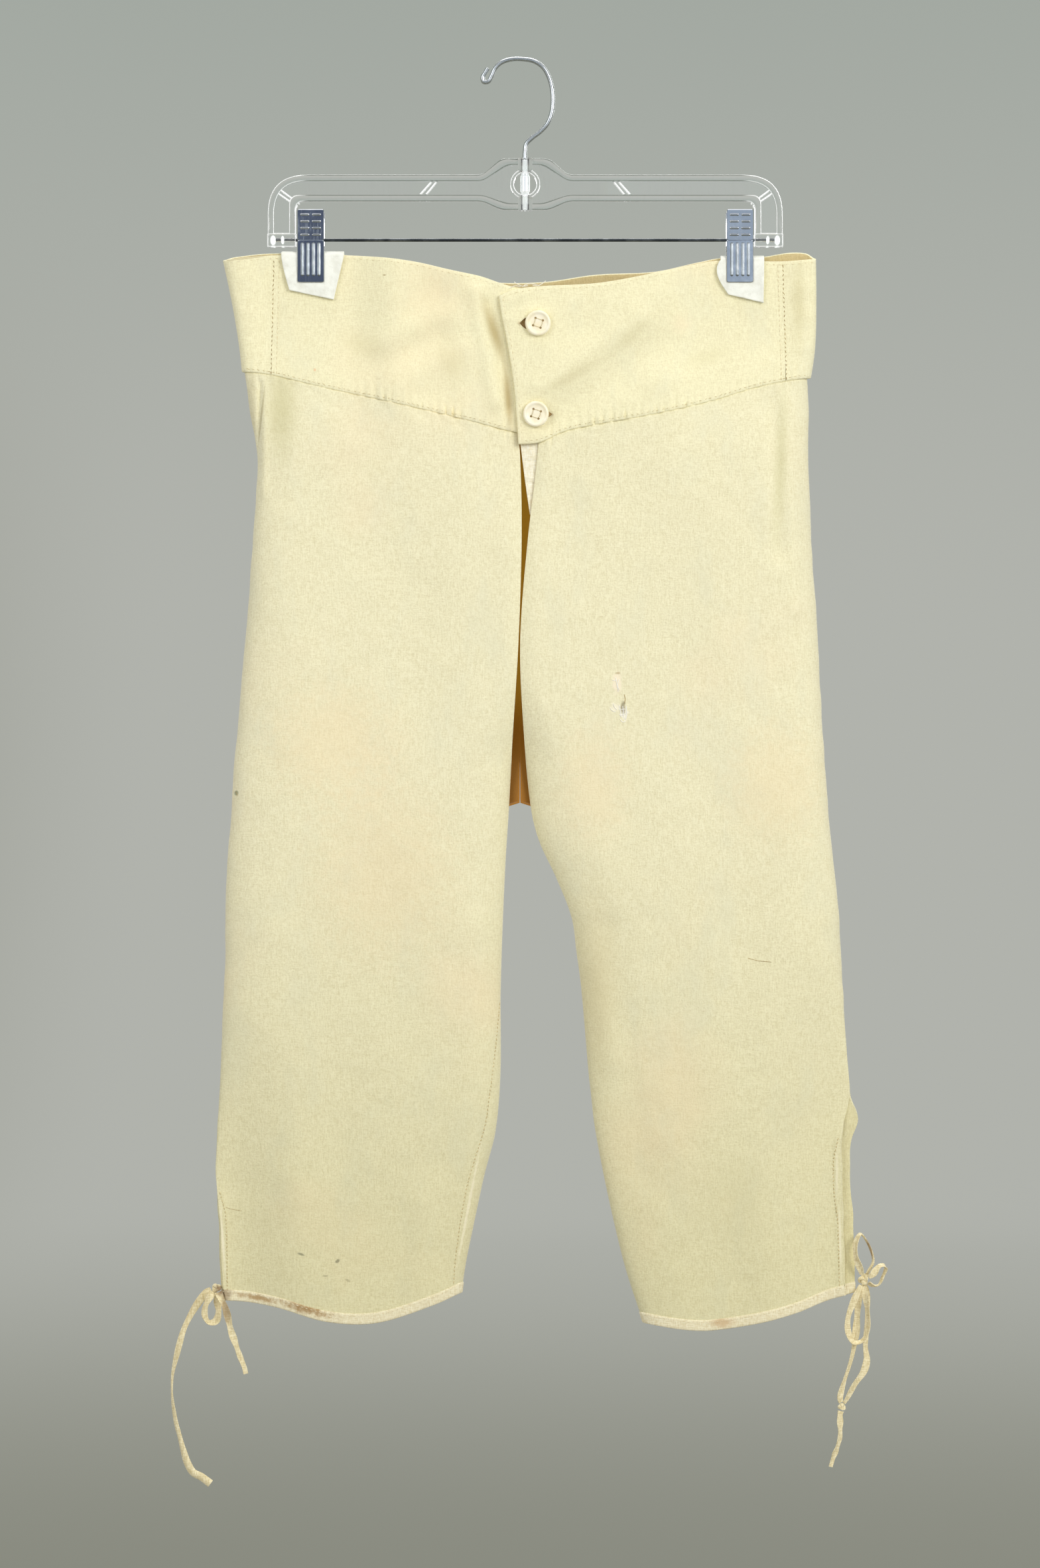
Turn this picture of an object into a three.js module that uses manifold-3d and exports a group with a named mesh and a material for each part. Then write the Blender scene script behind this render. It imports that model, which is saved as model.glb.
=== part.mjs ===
// Calf-length flannel drawers, hung by the waistband from a clip hanger.
// Millimetres, +Z up, the front towards -Y, the wearer's right side at -X.
// The origin is the top of the hook's inside, where the hanger rests on a rail.
import * as THREE from 'three';
import { mergeVertices } from 'three/addons/utils/BufferGeometryUtils.js';
import Module from 'manifold-3d';

const wasm = await Module();
wasm.setup();

// ---------------------------------------------------------------- driving sizes

const cloth = { leg: 1.4, band: 2.4, binding: 2.5, facing: 1.0, pad: 2.2 };
const seamGap = 0.3;
const middleX = -1.4; // centre-back seam
const bindingHeight = 6.2;
const lapDepth = 3.2; // how far the underlap lies behind the flap
const slitSpread = 1.6; // how far each slit edge stands off the side seam's line

// Where the clips pinch the band: flat close by, back to the free shape further off.
const pinch = { half: 1.6, flatReach: 26, fadeReach: 62, flatAbove: -168, fadeBelow: -275 };

const button = { radius: 8.9, thick: 3.2, rim: 1.8, dish: 0.9, holeRadius: 0.95, holeSpread: 2.1 };
const buttons = [
  { name: 'button_upper', x: 11, z: -182.3, slotFrom: -2.8, slotTo: 13 },
  { name: 'button_lower', x: 9.6, z: -245.1, slotFrom: 4, slotTo: 21.5 },
];
const buttonholeWidth = 1.2;

const hanger = {
  centreX: 2.2, halfLength: 177.8, webThick: 2, rimThick: 7, rimWide: 2.4,
  beamTop: -78.9, beamBottom: -97, humpTop: -67.6, humpBottom: -102.9, humpHalf: 16.5, humpSlope: 13,
  legWide: 19, legBottom: -128.4, corner: 16, innerCorner: 5,
  ringZ: -85, ringOuter: 10.3, ringInner: 7.8, sleeveHalf: 5, sleeveDeep: 9,
};
const hook = { wire: 1.55, bore: 1.95, shaftX: 2.06, shaftBottom: -99.5 };
const ferrule = { outer: 3.6, top: -79.6, bottom: -90.4 };
const rod = { radius: 1, z: -123.7, fromX: -171, toX: 175.4, socket: 1.4 };

const clip = {
  wide: 18.4, thick: 1, top: -103.4, bottom: -153.4, face: 5.6, earThick: 1, earBottom: -127.8,
  earTop: -112, earReach: 2.6, earHole: 1.35, ribHigh: 0.7,
};
const clips = [
  { side: 'right', x: -145.8 },
  { side: 'left', x: 150.4 },
];

// ---------------------------------------------------------------- tables of the garment's shape

// Half the depth between front and back, and how widely the side folds round off, down the garment.
const bodyDepth = [
  { z: -130, half: 8, round: 18 },
  { z: -180, half: 10, round: 20 },
  { z: -220, half: 12, round: 24 },
  { z: -300, half: 15, round: 32 },
  { z: -450, half: 17, round: 38 },
  { z: -600, half: 16, round: 40 },
  { z: -750, half: 13, round: 38 },
  { z: -880, half: 10, round: 34 },
];

// Outlines of the legs: side edge of each layer, and the fly edge or inner edge of the front.
const legRight = [
  { z: -205, front: -193, back: -193, inner: -5 },
  { z: -240, front: -188.4, back: -188.4, inner: -4.6 },
  { z: -275, front: -183, back: -183, inner: -1.6 },
  { z: -330, front: -186, back: -186, inner: -0.6 },
  { z: -400, front: -191.2, back: -191.2, inner: -2.7 },
  { z: -460, front: -196.7, back: -196.7, inner: -6.2 },
  { z: -513, front: -200.6, back: -200.6, inner: -8.8 },
  { z: -560, front: -204, back: -204, inner: -11.7 },
  { z: -640, front: -206, back: -206, inner: -14.7 },
  { z: -700, front: -208.6, back: -208.6, inner: -14.9 },
  { z: -740, front: -210.6, back: -210.6, inner: -18.3 },
  { z: -769, front: -211.8, back: -211.8, inner: -25.7 },
  { z: -800, front: -209.8, back: -210.4, inner: -32.4 },
  { z: -835, front: -208, back: -208.8, inner: -39.4 },
  { z: -872, front: -203.6, back: -204.4, inner: -44 },
];
const legLeft = [
  { z: -205, front: 196, back: 196, inner: 13.4 },
  { z: -240, front: 198, back: 198, inner: 13 },
  { z: -275, front: 198, back: 198, inner: 10.8 },
  { z: -330, front: 200, back: 200, inner: 4.4 },
  { z: -400, front: 204.5, back: 204.5, inner: -0.9 },
  { z: -460, front: 207.6, back: 207.6, inner: 1.1 },
  { z: -513, front: 211.4, back: 211.4, inner: 5.6 },
  { z: -538, front: 213.6, back: 213.6, inner: 11.4 },
  { z: -565, front: 216.4, back: 216.4, inner: 23.8 },
  { z: -592, front: 219.4, back: 219.4, inner: 34.2 },
  { z: -616, front: 220.4, back: 220.4, inner: 37.6 },
  { z: -640, front: 221.6, back: 221.6, inner: 40.8 },
  { z: -700, front: 225.7, back: 225.7, inner: 46 },
  { z: -716, front: 226.6, back: 227.4, inner: 47.8 },
  { z: -731, front: 223.6, back: 233, inner: 49.4 },
  { z: -746, front: 221.5, back: 228.2, inner: 51.8 },
  { z: -769, front: 221.6, back: 227, inner: 56.2 },
  { z: -800, front: 222.4, back: 229.2, inner: 62.9 },
  { z: -835, front: 223.4, back: 230.4, inner: 71.6 },
  { z: -872, front: 224.4, back: 231.1, inner: 83.7 },
];

// Lower edge of the band across the front, which is the top of the legs, and across the back.
const frontSeamRight = [
  { x: -193, z: -214.3 },
  { x: -172, z: -217.1 },
  { x: -138, z: -225.4 },
  { x: -77, z: -239.1 },
  { x: -33, z: -249.7 },
  { x: -4, z: -256.8 },
  { x: 28, z: -260 },
];
const frontSeamLeft = [
  { x: -4, z: -265.4 },
  { x: 12, z: -263.9 },
  { x: 29, z: -256.5 },
  { x: 47, z: -252.4 },
  { x: 97, z: -243.2 },
  { x: 131, z: -235 },
  { x: 161, z: -225.8 },
  { x: 182, z: -221.2 },
  { x: 199, z: -218.7 },
];
const backSeam = [
  { x: -195, z: -214.3 },
  { x: -100, z: -219 },
  { x: 0, z: -222 },
  { x: 100, z: -221 },
  { x: 199, z: -218.7 },
];

// Upper edges of the band: front right, front left with the flap's corner, and back.
const frontTopRight = [
  { x: -207, z: -138.7 },
  { x: -171, z: -135 },
  { x: -121, z: -135 },
  { x: -77, z: -139.6 },
  { x: -48, z: -146 },
  { x: -27, z: -150.6 },
  { x: -5, z: -157.5 },
  { x: 28, z: -160 },
];
const frontTopLeft = [
  { x: -16, z: -163.9 },
  { x: -6, z: -159.8 },
  { x: 9, z: -157.5 },
  { x: 51, z: -155 },
  { x: 83, z: -149.7 },
  { x: 121, z: -141 },
  { x: 136, z: -138.7 },
  { x: 181, z: -139.2 },
  { x: 203, z: -137.8 },
];
const backTop = [
  { x: -207, z: -138.7 },
  { x: -171, z: -135 },
  { x: -121, z: -135.4 },
  { x: -77, z: -142 },
  { x: -27, z: -153 },
  { x: 12, z: -154 },
  { x: 51, z: -149.2 },
  { x: 91, z: -147 },
  { x: 122, z: -140.5 },
  { x: 136, z: -137.4 },
  { x: 166, z: -137.2 },
  { x: 185, z: -135 },
  { x: 199, z: -135.2 },
  { x: 203, z: -137.8 },
];

// Side edges of the band, its side seams in front, and the flap's free edge.
const bandSides = [
  { z: -134, right: -207.6, left: 203.2, seamRight: -171, seamLeft: 179.7, flap: -16.2 },
  { z: -167, right: -200.6, left: 203.5, seamRight: -171.8, seamLeft: 180.6, flap: -14.9 },
  { z: -199, right: -195.4, left: 202.6, seamRight: -172.5, seamLeft: 181.6, flap: -9.6 },
  { z: -229, right: -192.6, left: 198.4, seamRight: -173, seamLeft: 182.2, flap: -6 },
  { z: -266, right: -190, left: 196, seamRight: -173.4, seamLeft: 182.8, flap: -1.8 },
];

// Hem edges.
const hemRight = [
  { x: -210, z: -855.6 },
  { x: -188, z: -857.2 },
  { x: -167, z: -860.9 },
  { x: -134, z: -870 },
  { x: -100, z: -870.6 },
  { x: -60, z: -858.1 },
  { x: -43, z: -850.8 },
];
const hemLeft = [
  { x: 83, z: -871.2 },
  { x: 112, z: -875.5 },
  { x: 130, z: -876 },
  { x: 160, z: -871.6 },
  { x: 190, z: -864 },
  { x: 211, z: -856 },
  { x: 232, z: -850.2 },
];

// The linen facing behind the left front's fly edge.
const facingEdges = [
  { z: -265.6, inner: -0.8, outer: 16 },
  { z: -285, inner: 0.9, outer: 12.6 },
  { z: -302, inner: 2.2, outer: 9.6 },
  { z: -314, inner: 3.4, outer: 7.6 },
];
const facingSink = 1.8; // how far it lies behind the fly edge

// Soft folds of the front, each along a straight line; height is forward, and below zero a trough.
const folds = [
  { x0: 44, z0: -240, x1: 118, z1: -186, width: 17, height: -2.6 },
  { x0: 40, z0: -212, x1: 96, z1: -176, width: 20, height: 2.2 },
  { x0: -34, z0: -164, x1: -26, z1: -236, width: 15, height: 2.4 },
  { x0: -62, z0: -166, x1: -66, z1: -226, width: 18, height: -1.4 },
  { x0: 60, z0: -560, x1: 76, z1: -760, width: 18, height: -2.2 },
];

// Ties: knots, and stretches of tape that leave them. Free ends hang down; loops come back to the knot.
const tapeRadius = 1.15;
const tapeStep = 8.5;
const knots = [
  { name: 'tie_right_knot', x: -211.4, y: 0, z: -848.4, radius: 3.4 },
  { name: 'tie_left_knot', x: 236, y: 0, z: -842.6, radius: 4 },
  { name: 'tie_left_tail_knot', x: 221, y: 0, z: -930.4, radius: 2.6 },
];
const ties = [
  {
    name: 'tie_right_long', from: 'tie_right_knot', points: [
      [-217.8, 0.5, -851.2], [-223.3, 1, -857.6], [-228.8, 1, -866.3], [-233.8, 0.5, -876.4],
      [-237.2, 0, -887.4], [-239.8, 0, -897.5], [-241.8, 0, -907.5], [-242.1, 0, -919.5],
      [-241.6, 0, -928.2], [-239.8, 0, -940.6], [-237, 0, -950.7], [-234.3, 0, -960.8],
      [-231.5, 0, -969.5], [-227.6, 0, -976], [-222, 0, -979], [-215.4, 0, -983.8],
    ],
  },
  {
    name: 'tie_right_short', from: 'tie_right_knot', points: [
      [-208.6, -4.4, -853.6], [-204.8, -7.4, -860.6], [-202.7, -7, -868], [-200.8, -6, -877.4],
      [-198.1, -5, -886.1], [-194.9, -4.4, -895.2], [-191.7, -4, -903], [-190.7, -4, -907.2],
    ],
  },
  {
    name: 'tie_right_loop', from: 'tie_right_knot', to: 'tie_right_knot', points: [
      [-215, -3.6, -853.4], [-218.8, -4, -860.4], [-219.4, -3.4, -866.8], [-216.6, -2, -872],
      [-211.6, -0.4, -871.4], [-209.9, 1.4, -865], [-211, 2.2, -857.6], [-211.3, 2, -854],
    ],
  },
  {
    name: 'tie_left_upper_loop', from: 'tie_left_knot', to: 'tie_left_knot', points: [
      [234, -3.6, -835.6], [230.6, -6, -826], [230.4, -6, -817.4], [233.8, -5, -810.8],
      [238.2, -3, -816.2], [241.6, -1, -824], [242.6, 0.8, -830.4], [239.4, 1.4, -836.6],
    ],
  },
  {
    name: 'tie_left_side_loop', from: 'tie_left_knot', to: 'tie_left_knot', points: [
      [242.2, -3.2, -838.8], [247.4, -3, -832.8], [251, -1.4, -833.6], [249.2, 0.6, -840.6],
      [246.4, 1.6, -846.4], [243.4, 1.6, -846.8],
    ],
  },
  {
    name: 'tie_left_lower_loop', from: 'tie_left_knot', to: 'tie_left_knot', points: [
      [232.4, -2.4, -849.6], [228.4, -3, -858.4], [225, -3, -868.6], [225, -2.8, -878.4],
      [229, -2.4, -886], [235.6, -1.8, -884.6], [239.6, -1.6, -876], [239, -2, -864],
      [237, -3, -852.4],
    ],
  },
  {
    name: 'tie_left_tail_inner', from: 'tie_left_knot', to: 'tie_left_tail_knot', points: [
      [233.2, 3, -849.8], [232.4, 4.4, -862], [231.4, 4.2, -876], [229.6, 3.4, -889],
      [226.4, 2, -901], [222.4, 0, -913], [219.6, -1.4, -923.6],
    ],
  },
  {
    name: 'tie_left_tail_outer', from: 'tie_left_knot', to: 'tie_left_tail_knot', points: [
      [238, 4.8, -849.6], [238.8, 5.6, -862], [238.2, 5.2, -876], [237.4, 4, -889],
      [238.4, 3, -898.6], [236.2, 2.4, -906.4], [229.8, 2.4, -915.6], [224.6, 2, -924.8],
    ],
  },
  {
    name: 'tie_left_tail_end', from: 'tie_left_tail_knot', points: [
      [219.8, 0, -935.4], [219.6, 0, -942], [219.6, 0, -950], [218, 0, -957.4],
      [215.4, 0, -964.4], [213.2, 0, -972],
    ],
  },
];

// Cells across and down a panel.
const legColumns = [0, 0.07, 0.14, 0.21, 0.28, 0.36, 0.44, 0.52, 0.6, 0.66, 0.72, 0.79, 0.86, 0.93, 1];
const legRows = [
  -215, -238, -268, -305, -350, -400, -440, -470, -492, -507, -511, -516, -538, -565, -592,
  -616, -645, -690, -716, -731, -746, -769, -800, -830, -857,
];
const outerShare = 0.28; // part of the columns on the side fold
const innerShare = 0.28; // part of the columns on the inner fold

// ---------------------------------------------------------------- reading the tables

/** Smooth value of one column of a table at a place along its key column. */
function read(rows, key, place, column) {
  const last = rows.length - 1;
  const rising = rows[last][key] > rows[0][key];
  let i = 0;
  while (i < last - 1 && (rising ? place > rows[i + 1][key] : place < rows[i + 1][key])) i += 1;
  const slope = (j) => {
    const before = rows[Math.max(j - 1, 0)];
    const after = rows[Math.min(j + 1, last)];
    return (after[column] - before[column]) / (after[key] - before[key]);
  };
  const span = rows[i + 1][key] - rows[i][key];
  const t = THREE.MathUtils.clamp((place - rows[i][key]) / span, 0, 1);
  const rise = 3 * t * t - 2 * t * t * t;
  return rows[i][column] * (1 - rise) + rows[i + 1][column] * rise
    + span * t * (1 - t) * ((1 - t) * slope(i) - t * slope(i + 1));
}

const { smoothstep, lerp, clamp } = THREE.MathUtils;

/** How freely the cloth hangs: 0 where a clip pinches it and 1 well away from both. */
function looseness(x, z) {
  const held = smoothstep(z, pinch.fadeBelow, pinch.flatAbove);
  const grips = clips.map((c) => 1 - smoothstep(Math.abs(x - c.x), pinch.flatReach, pinch.fadeReach));
  return 1 - Math.max(...grips) * held;
}

/** Forward height of the soft folds at a place on the front. */
function foldHeight(x, z) {
  let total = 0;
  for (const f of folds) {
    const dx = f.x1 - f.x0;
    const dz = f.z1 - f.z0;
    const along = clamp(((x - f.x0) * dx + (z - f.z0) * dz) / (dx * dx + dz * dz), 0, 1);
    const away = Math.hypot(x - f.x0 - along * dx, z - f.z0 - along * dz);
    total += f.height * Math.exp(-((away / f.width) ** 2));
  }
  return total;
}

/** Distance of a layer from the middle plane where nothing rounds it off; layer is 'front' or 'back'. */
function flatDepth(layer, x, z) {
  const free = read(bodyDepth, 'z', z, 'half') + (layer === 'front' ? foldHeight(x, z) : 0);
  return lerp(pinch.half, free, looseness(x, z));
}

/** How far a right-hand front piece lies behind the flap's level. */
function lapRecess(x, z) {
  return lapDepth * smoothstep(x, -42, -18) * smoothstep(z, -345, -262);
}

/** Quarter-ellipse factor: 0 at a folded edge and 1 where the fold ends. */
function roundOff(fromEdge, width) {
  const t = clamp(1 - fromEdge / width, 0, 1);
  return Math.sqrt(1 - t * t);
}

/** A layer's side of the middle plane: the front faces -Y. */
const layerSide = { front: -1, back: 1 };

// ---------------------------------------------------------------- building solids

function geometryFrom(points, faces) {
  const geometry = new THREE.BufferGeometry();
  geometry.setAttribute('position', new THREE.Float32BufferAttribute(points.flatMap((p) => [p.x, p.y, p.z]), 3));
  geometry.setIndex(faces);
  return geometry;
}

/** Six times the volume enclosed by a list of faces, above zero when they point out. */
function signedVolume(points, faces) {
  let sum = 0;
  for (let i = 0; i < faces.length; i += 3) {
    const [a, b, c] = [points[faces[i]], points[faces[i + 1]], points[faces[i + 2]]];
    sum += a.dot(b.clone().cross(c));
  }
  return sum;
}

/** A wall of even thickness about the surface place(u, v), with a cell between neighbouring us and vs. */
function sheet(place, us, vs, thick) {
  const step = 1e-3;
  const normalAt = (u, v) => {
    const alongU = place(Math.min(u + step, 1), v).sub(place(Math.max(u - step, 0), v));
    const alongV = place(u, Math.min(v + step, 1)).sub(place(u, Math.max(v - step, 0)));
    return alongU.normalize().cross(alongV.normalize()).normalize();
  };
  const points = [];
  for (const side of [0.5, -0.5]) {
    for (const v of vs) {
      for (const u of us) points.push(place(u, v).addScaledVector(normalAt(u, v), side * thick));
    }
  }
  const width = us.length;
  const layer = width * vs.length;
  const faces = [];
  const quad = (a, b, c, d) => faces.push(a, b, c, a, c, d);
  for (let j = 0; j + 1 < vs.length; j += 1) {
    for (let i = 0; i + 1 < width; i += 1) {
      const a = j * width + i;
      const [b, c, d] = [a + 1, a + width + 1, a + width];
      quad(a, b, c, d);
      faces.push(layer + a, layer + c, layer + b, layer + a, layer + d, layer + c);
    }
  }
  const rim = [];
  for (let i = 0; i < width; i += 1) rim.push(i);
  for (let j = 1; j < vs.length; j += 1) rim.push(j * width + width - 1);
  for (let i = width - 2; i >= 0; i -= 1) rim.push((vs.length - 1) * width + i);
  for (let j = vs.length - 2; j > 0; j -= 1) rim.push(j * width);
  rim.forEach((a, k) => {
    const b = rim[(k + 1) % rim.length];
    quad(b, a, layer + a, layer + b);
  });
  if (signedVolume(points, faces) < 0) {
    for (let i = 0; i < faces.length; i += 3) [faces[i], faces[i + 1]] = [faces[i + 1], faces[i]];
  }
  return geometryFrom(points, faces);
}

/** Evenly spaced values from 0 to 1. */
const even = (cells) => Array.from({ length: cells + 1 }, (_, i) => i / cells);

function toManifold(geometry) {
  const bare = geometry.clone();
  bare.deleteAttribute('normal');
  bare.deleteAttribute('uv');
  const merged = mergeVertices(bare, 1e-4);
  return new wasm.Manifold(new wasm.Mesh({
    numProp: 3,
    vertProperties: merged.attributes.position.array,
    triVerts: Uint32Array.from(merged.index.array),
  }));
}

function fromManifold(solid) {
  const mesh = solid.getMesh();
  const geometry = new THREE.BufferGeometry();
  geometry.setAttribute('position', new THREE.BufferAttribute(mesh.vertProperties.slice(), 3));
  geometry.setIndex(Array.from(mesh.triVerts));
  return geometry;
}

/** A base shape joined with some shapes and then cut by others. */
function carve(base, added, removed) {
  let solid = toManifold(base);
  for (const piece of added) solid = solid.add(toManifold(piece));
  for (const piece of removed) solid = solid.subtract(toManifold(piece));
  return fromManifold(solid);
}

/** A box between two corners. */
function block(x0, x1, y0, y1, z0, z1) {
  return new THREE.BoxGeometry(x1 - x0, y1 - y0, z1 - z0)
    .translate((x0 + x1) / 2, (y0 + y1) / 2, (z0 + z1) / 2);
}

/** A flat outline in X and Z, given depth along Y about the middle plane. */
function plate(shape, thick) {
  return new THREE.ExtrudeGeometry(shape, { depth: thick, bevelEnabled: false, curveSegments: 3 })
    .translate(0, 0, -thick / 2)
    .rotateX(Math.PI / 2);
}

const materials = {
  flannel: { color: 0xf0e9c0, roughness: 0.95, metalness: 0 },
  linen: { color: 0xf8f2d8, roughness: 0.9, metalness: 0 },
  tape: { color: 0xe9dcb8, roughness: 0.9, metalness: 0 },
  button: { color: 0xf3e8c8, roughness: 0.45, metalness: 0 },
  padding: { color: 0xf4f2e8, roughness: 0.95, metalness: 0 },
  plastic: { color: 0xdfe4e2, roughness: 0.15, metalness: 0 },
  chrome: { color: 0xb9bdc0, roughness: 0.2, metalness: 1 },
};

const garment = new THREE.Group();

function addPiece(name, geometry, material) {
  const mesh = new THREE.Mesh(geometry, new THREE.MeshStandardMaterial(materials[material]));
  mesh.name = name;
  garment.add(mesh);
}

// ---------------------------------------------------------------- legs

const legs = [
  { side: 'right', outward: -1, edges: legRight, hem: hemRight, seam: frontSeamRight, slitTop: -769 },
  { side: 'left', outward: 1, edges: legLeft, hem: hemLeft, seam: frontSeamLeft, slitTop: -716 },
];
const crotch = { bottom: -513.5, foldStart: -425, rollWidth: 7, rollShare: 0.14 };
const legRange = { top: legRows[0], bottom: legRows[legRows.length - 1], levelFrom: -305, levelTo: -790 };

/** How fully a layer's inner edge is turned in: slightly at the fly, wholly at and below the crotch. */
function innerTurn(layer, z) {
  const open = smoothstep(z, crotch.bottom, crotch.foldStart);
  return layer === 'front' ? lerp(1, crotch.rollShare, open) : 1 - open;
}

/** Power of the inner edge's profile: 1 is a rounded fold, 2 a slope that runs out at the edge. */
function innerPower(layer, z) {
  if (z <= crotch.bottom) return 1;
  return layer === 'back' ? 2 : 2 - smoothstep(innerTurn(layer, z), 0.6, 1);
}

/** Inner edge of a layer: the fly edge in front, the centre-back seam behind, one inseam below. */
function innerEdge(leg, layer, z) {
  const aboveCrotch = layer === 'back' && z > crotch.bottom;
  return aboveCrotch ? middleX + leg.outward * seamGap / 2 : read(leg.edges, 'z', z, 'inner');
}

/** A place in the middle of a leg's cloth at height z, u running from the side seam to the inner edge. */
function legPlace(leg, layer, u, z) {
  const half = cloth.leg / 2;
  const round = read(bodyDepth, 'z', z, 'round');
  const turn = innerTurn(layer, z);
  const innerRound = lerp(crotch.rollWidth, round, turn);
  const outer = read(leg.edges, 'z', z, layer) - leg.outward * half;
  const inner = innerEdge(leg, layer, z) + leg.outward * half * turn;
  let x = lerp(
    outer - leg.outward * round,
    inner + leg.outward * innerRound,
    (u - outerShare) / (1 - outerShare - innerShare),
  );
  let foldIn = 1;
  if (u < outerShare) {
    const angle = (u / outerShare) * Math.PI / 2;
    x = outer - leg.outward * round * (1 - Math.cos(angle));
    foldIn = Math.sin(angle);
  } else if (u > 1 - innerShare) {
    const angle = ((1 - u) / innerShare) * Math.PI / 2;
    x = inner + leg.outward * innerRound * (1 - Math.cos(angle));
    foldIn = 1 - turn * (1 - Math.sin(angle) ** innerPower(layer, z));
  }
  const slit = slitSpread * smoothstep(leg.slitTop - z, 0, 30) * (1 - u) ** 6;
  const recess = layer === 'front' && leg.side === 'right' ? lapRecess(x, z) : 0;
  const full = flatDepth(layer, x, z) - recess - seamGap / 2;
  return new THREE.Vector3(x, layerSide[layer] * (full * foldIn + seamGap / 2 + slit), z);
}

/** A place on a leg panel, v running from the band's seam down to the hem's binding. */
function panelPlace(leg, layer, u, v) {
  const level = lerp(legRange.top, legRange.bottom, v);
  const nearTop = clamp((level - legRange.levelFrom) / (legRange.top - legRange.levelFrom), 0, 1);
  const nearHem = clamp((level - legRange.levelTo) / (legRange.bottom - legRange.levelTo), 0, 1);
  const topEdge = layer === 'front' ? leg.seam : backSeam;
  let place = legPlace(leg, layer, u, level);
  for (let pass = 0; pass < 4; pass += 1) {
    const top = read(topEdge, 'x', place.x, 'z') - seamGap;
    const bottom = read(leg.hem, 'x', place.x, 'z') + bindingHeight + seamGap;
    const z = level + (top - legRange.top) * nearTop + (bottom - legRange.bottom) * nearHem;
    place = legPlace(leg, layer, u, z);
  }
  return place;
}

/** A place on a hem's binding, v running down to the hem edge. */
function bindingPlace(leg, layer, u, v) {
  let place = legPlace(leg, layer, u, legRange.bottom);
  for (let pass = 0; pass < 4; pass += 1) {
    const hemEdge = read(leg.hem, 'x', place.x, 'z');
    place = legPlace(leg, layer, u, hemEdge + bindingHeight * (1 - v));
  }
  return place;
}

const legLevels = legRows.map((z) => (z - legRange.top) / (legRange.bottom - legRange.top));
for (const leg of legs) {
  for (const layer of ['front', 'back']) {
    const panel = (u, v) => panelPlace(leg, layer, u, v);
    const binding = (u, v) => bindingPlace(leg, layer, u, v);
    addPiece(`leg_${layer}_${leg.side}`, sheet(panel, legColumns, legLevels, cloth.leg), 'flannel');
    addPiece(`hem_binding_${leg.side}_${layer}`, sheet(binding, legColumns, even(2), cloth.binding), 'tape');
  }
}

// ---------------------------------------------------------------- waistband, facing and buttons

/** A place in the middle of the band's cloth. */
function bandPlace(layer, x, z, recess) {
  const round = read(bodyDepth, 'z', z, 'round');
  const right = read(bandSides, 'z', z, 'right') + cloth.band / 2;
  const left = read(bandSides, 'z', z, 'left') - cloth.band / 2;
  const fold = roundOff(x - right, round) * roundOff(left - x, round);
  return new THREE.Vector3(x, layerSide[layer] * (flatDepth(layer, x, z) - recess) * fold, z);
}

/** The band between two upright lines fromX(z) and toX(z), v running down it. */
function bandPiece(layer, fromX, toX, topEdge, bottomEdge, recessAt) {
  return (u, v) => {
    let z = lerp(-150, -235, v);
    let x = 0;
    for (let pass = 0; pass < 5; pass += 1) {
      x = lerp(fromX(z), toX(z), u);
      z = lerp(read(topEdge, 'x', x, 'z'), read(bottomEdge, 'x', x, 'z'), v);
    }
    return bandPlace(layer, x, z, recessAt(x, z));
  };
}

const bandSide = (column, shift) => (z) => read(bandSides, 'z', z, column) + shift;
const underlapEnd = 27.5;
const noRecess = () => 0;
const frontRight = bandPiece(
  'front', bandSide('seamRight', seamGap / 2), () => underlapEnd, frontTopRight, frontSeamRight, lapRecess,
);
const frontLeft = bandPiece(
  'front', bandSide('flap', 0), bandSide('seamLeft', -seamGap / 2), frontTopLeft, frontSeamLeft, noRecess,
);

/** The back band: round each side fold from its side seam in front, u from the right seam to the left. */
const wrapShare = 0.13; // part of the columns in front of, and again behind, each side fold
const wrapReach = 34; // how far the columns of a side fold reach
function backBand(u, v) {
  const near = u < 0.5 ? 'right' : 'left';
  const fromSeam = Math.min(u, 1 - u);
  const inFront = fromSeam < wrapShare;
  const inward = near === 'right' ? 1 : -1;
  const topEdge = inFront ? { right: frontTopRight, left: frontTopLeft }[near] : backTop;
  const bottomEdge = inFront ? { right: frontSeamRight, left: frontSeamLeft }[near] : backSeam;
  let z = lerp(-138, -216, v);
  let x = 0;
  for (let pass = 0; pass < 5; pass += 1) {
    const side = read(bandSides, 'z', z, near) + inward * cloth.band / 2;
    const seam = read(bandSides, 'z', z, near === 'right' ? 'seamRight' : 'seamLeft') - inward * seamGap / 2;
    if (inFront) {
      x = lerp(side, seam, 1 - Math.cos((1 - fromSeam / wrapShare) * Math.PI / 2));
    } else if (fromSeam < 2 * wrapShare) {
      x = side + inward * wrapReach * (1 - Math.cos((fromSeam / wrapShare - 1) * Math.PI / 2));
    } else {
      const right = read(bandSides, 'z', z, 'right') + cloth.band / 2 + wrapReach;
      const left = read(bandSides, 'z', z, 'left') - cloth.band / 2 - wrapReach;
      x = lerp(right, left, (u - 2 * wrapShare) / (1 - 4 * wrapShare));
    }
    z = lerp(read(topEdge, 'x', x, 'z'), read(bottomEdge, 'x', x, 'z'), v);
  }
  return bandPlace(inFront ? 'front' : 'back', x, z, 0);
}

/** Values from one place to another in even cells, without the last. */
const stretch = (from, to, cells) => even(cells).slice(0, -1).map((share) => lerp(from, to, share));
const backBandColumns = [
  ...stretch(0, wrapShare, 5),
  ...stretch(wrapShare, 2 * wrapShare, 4),
  ...stretch(2 * wrapShare, 1 - 2 * wrapShare, 28),
  ...stretch(1 - 2 * wrapShare, 1 - wrapShare, 4),
  ...stretch(1 - wrapShare, 1, 5),
  1,
];

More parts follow.
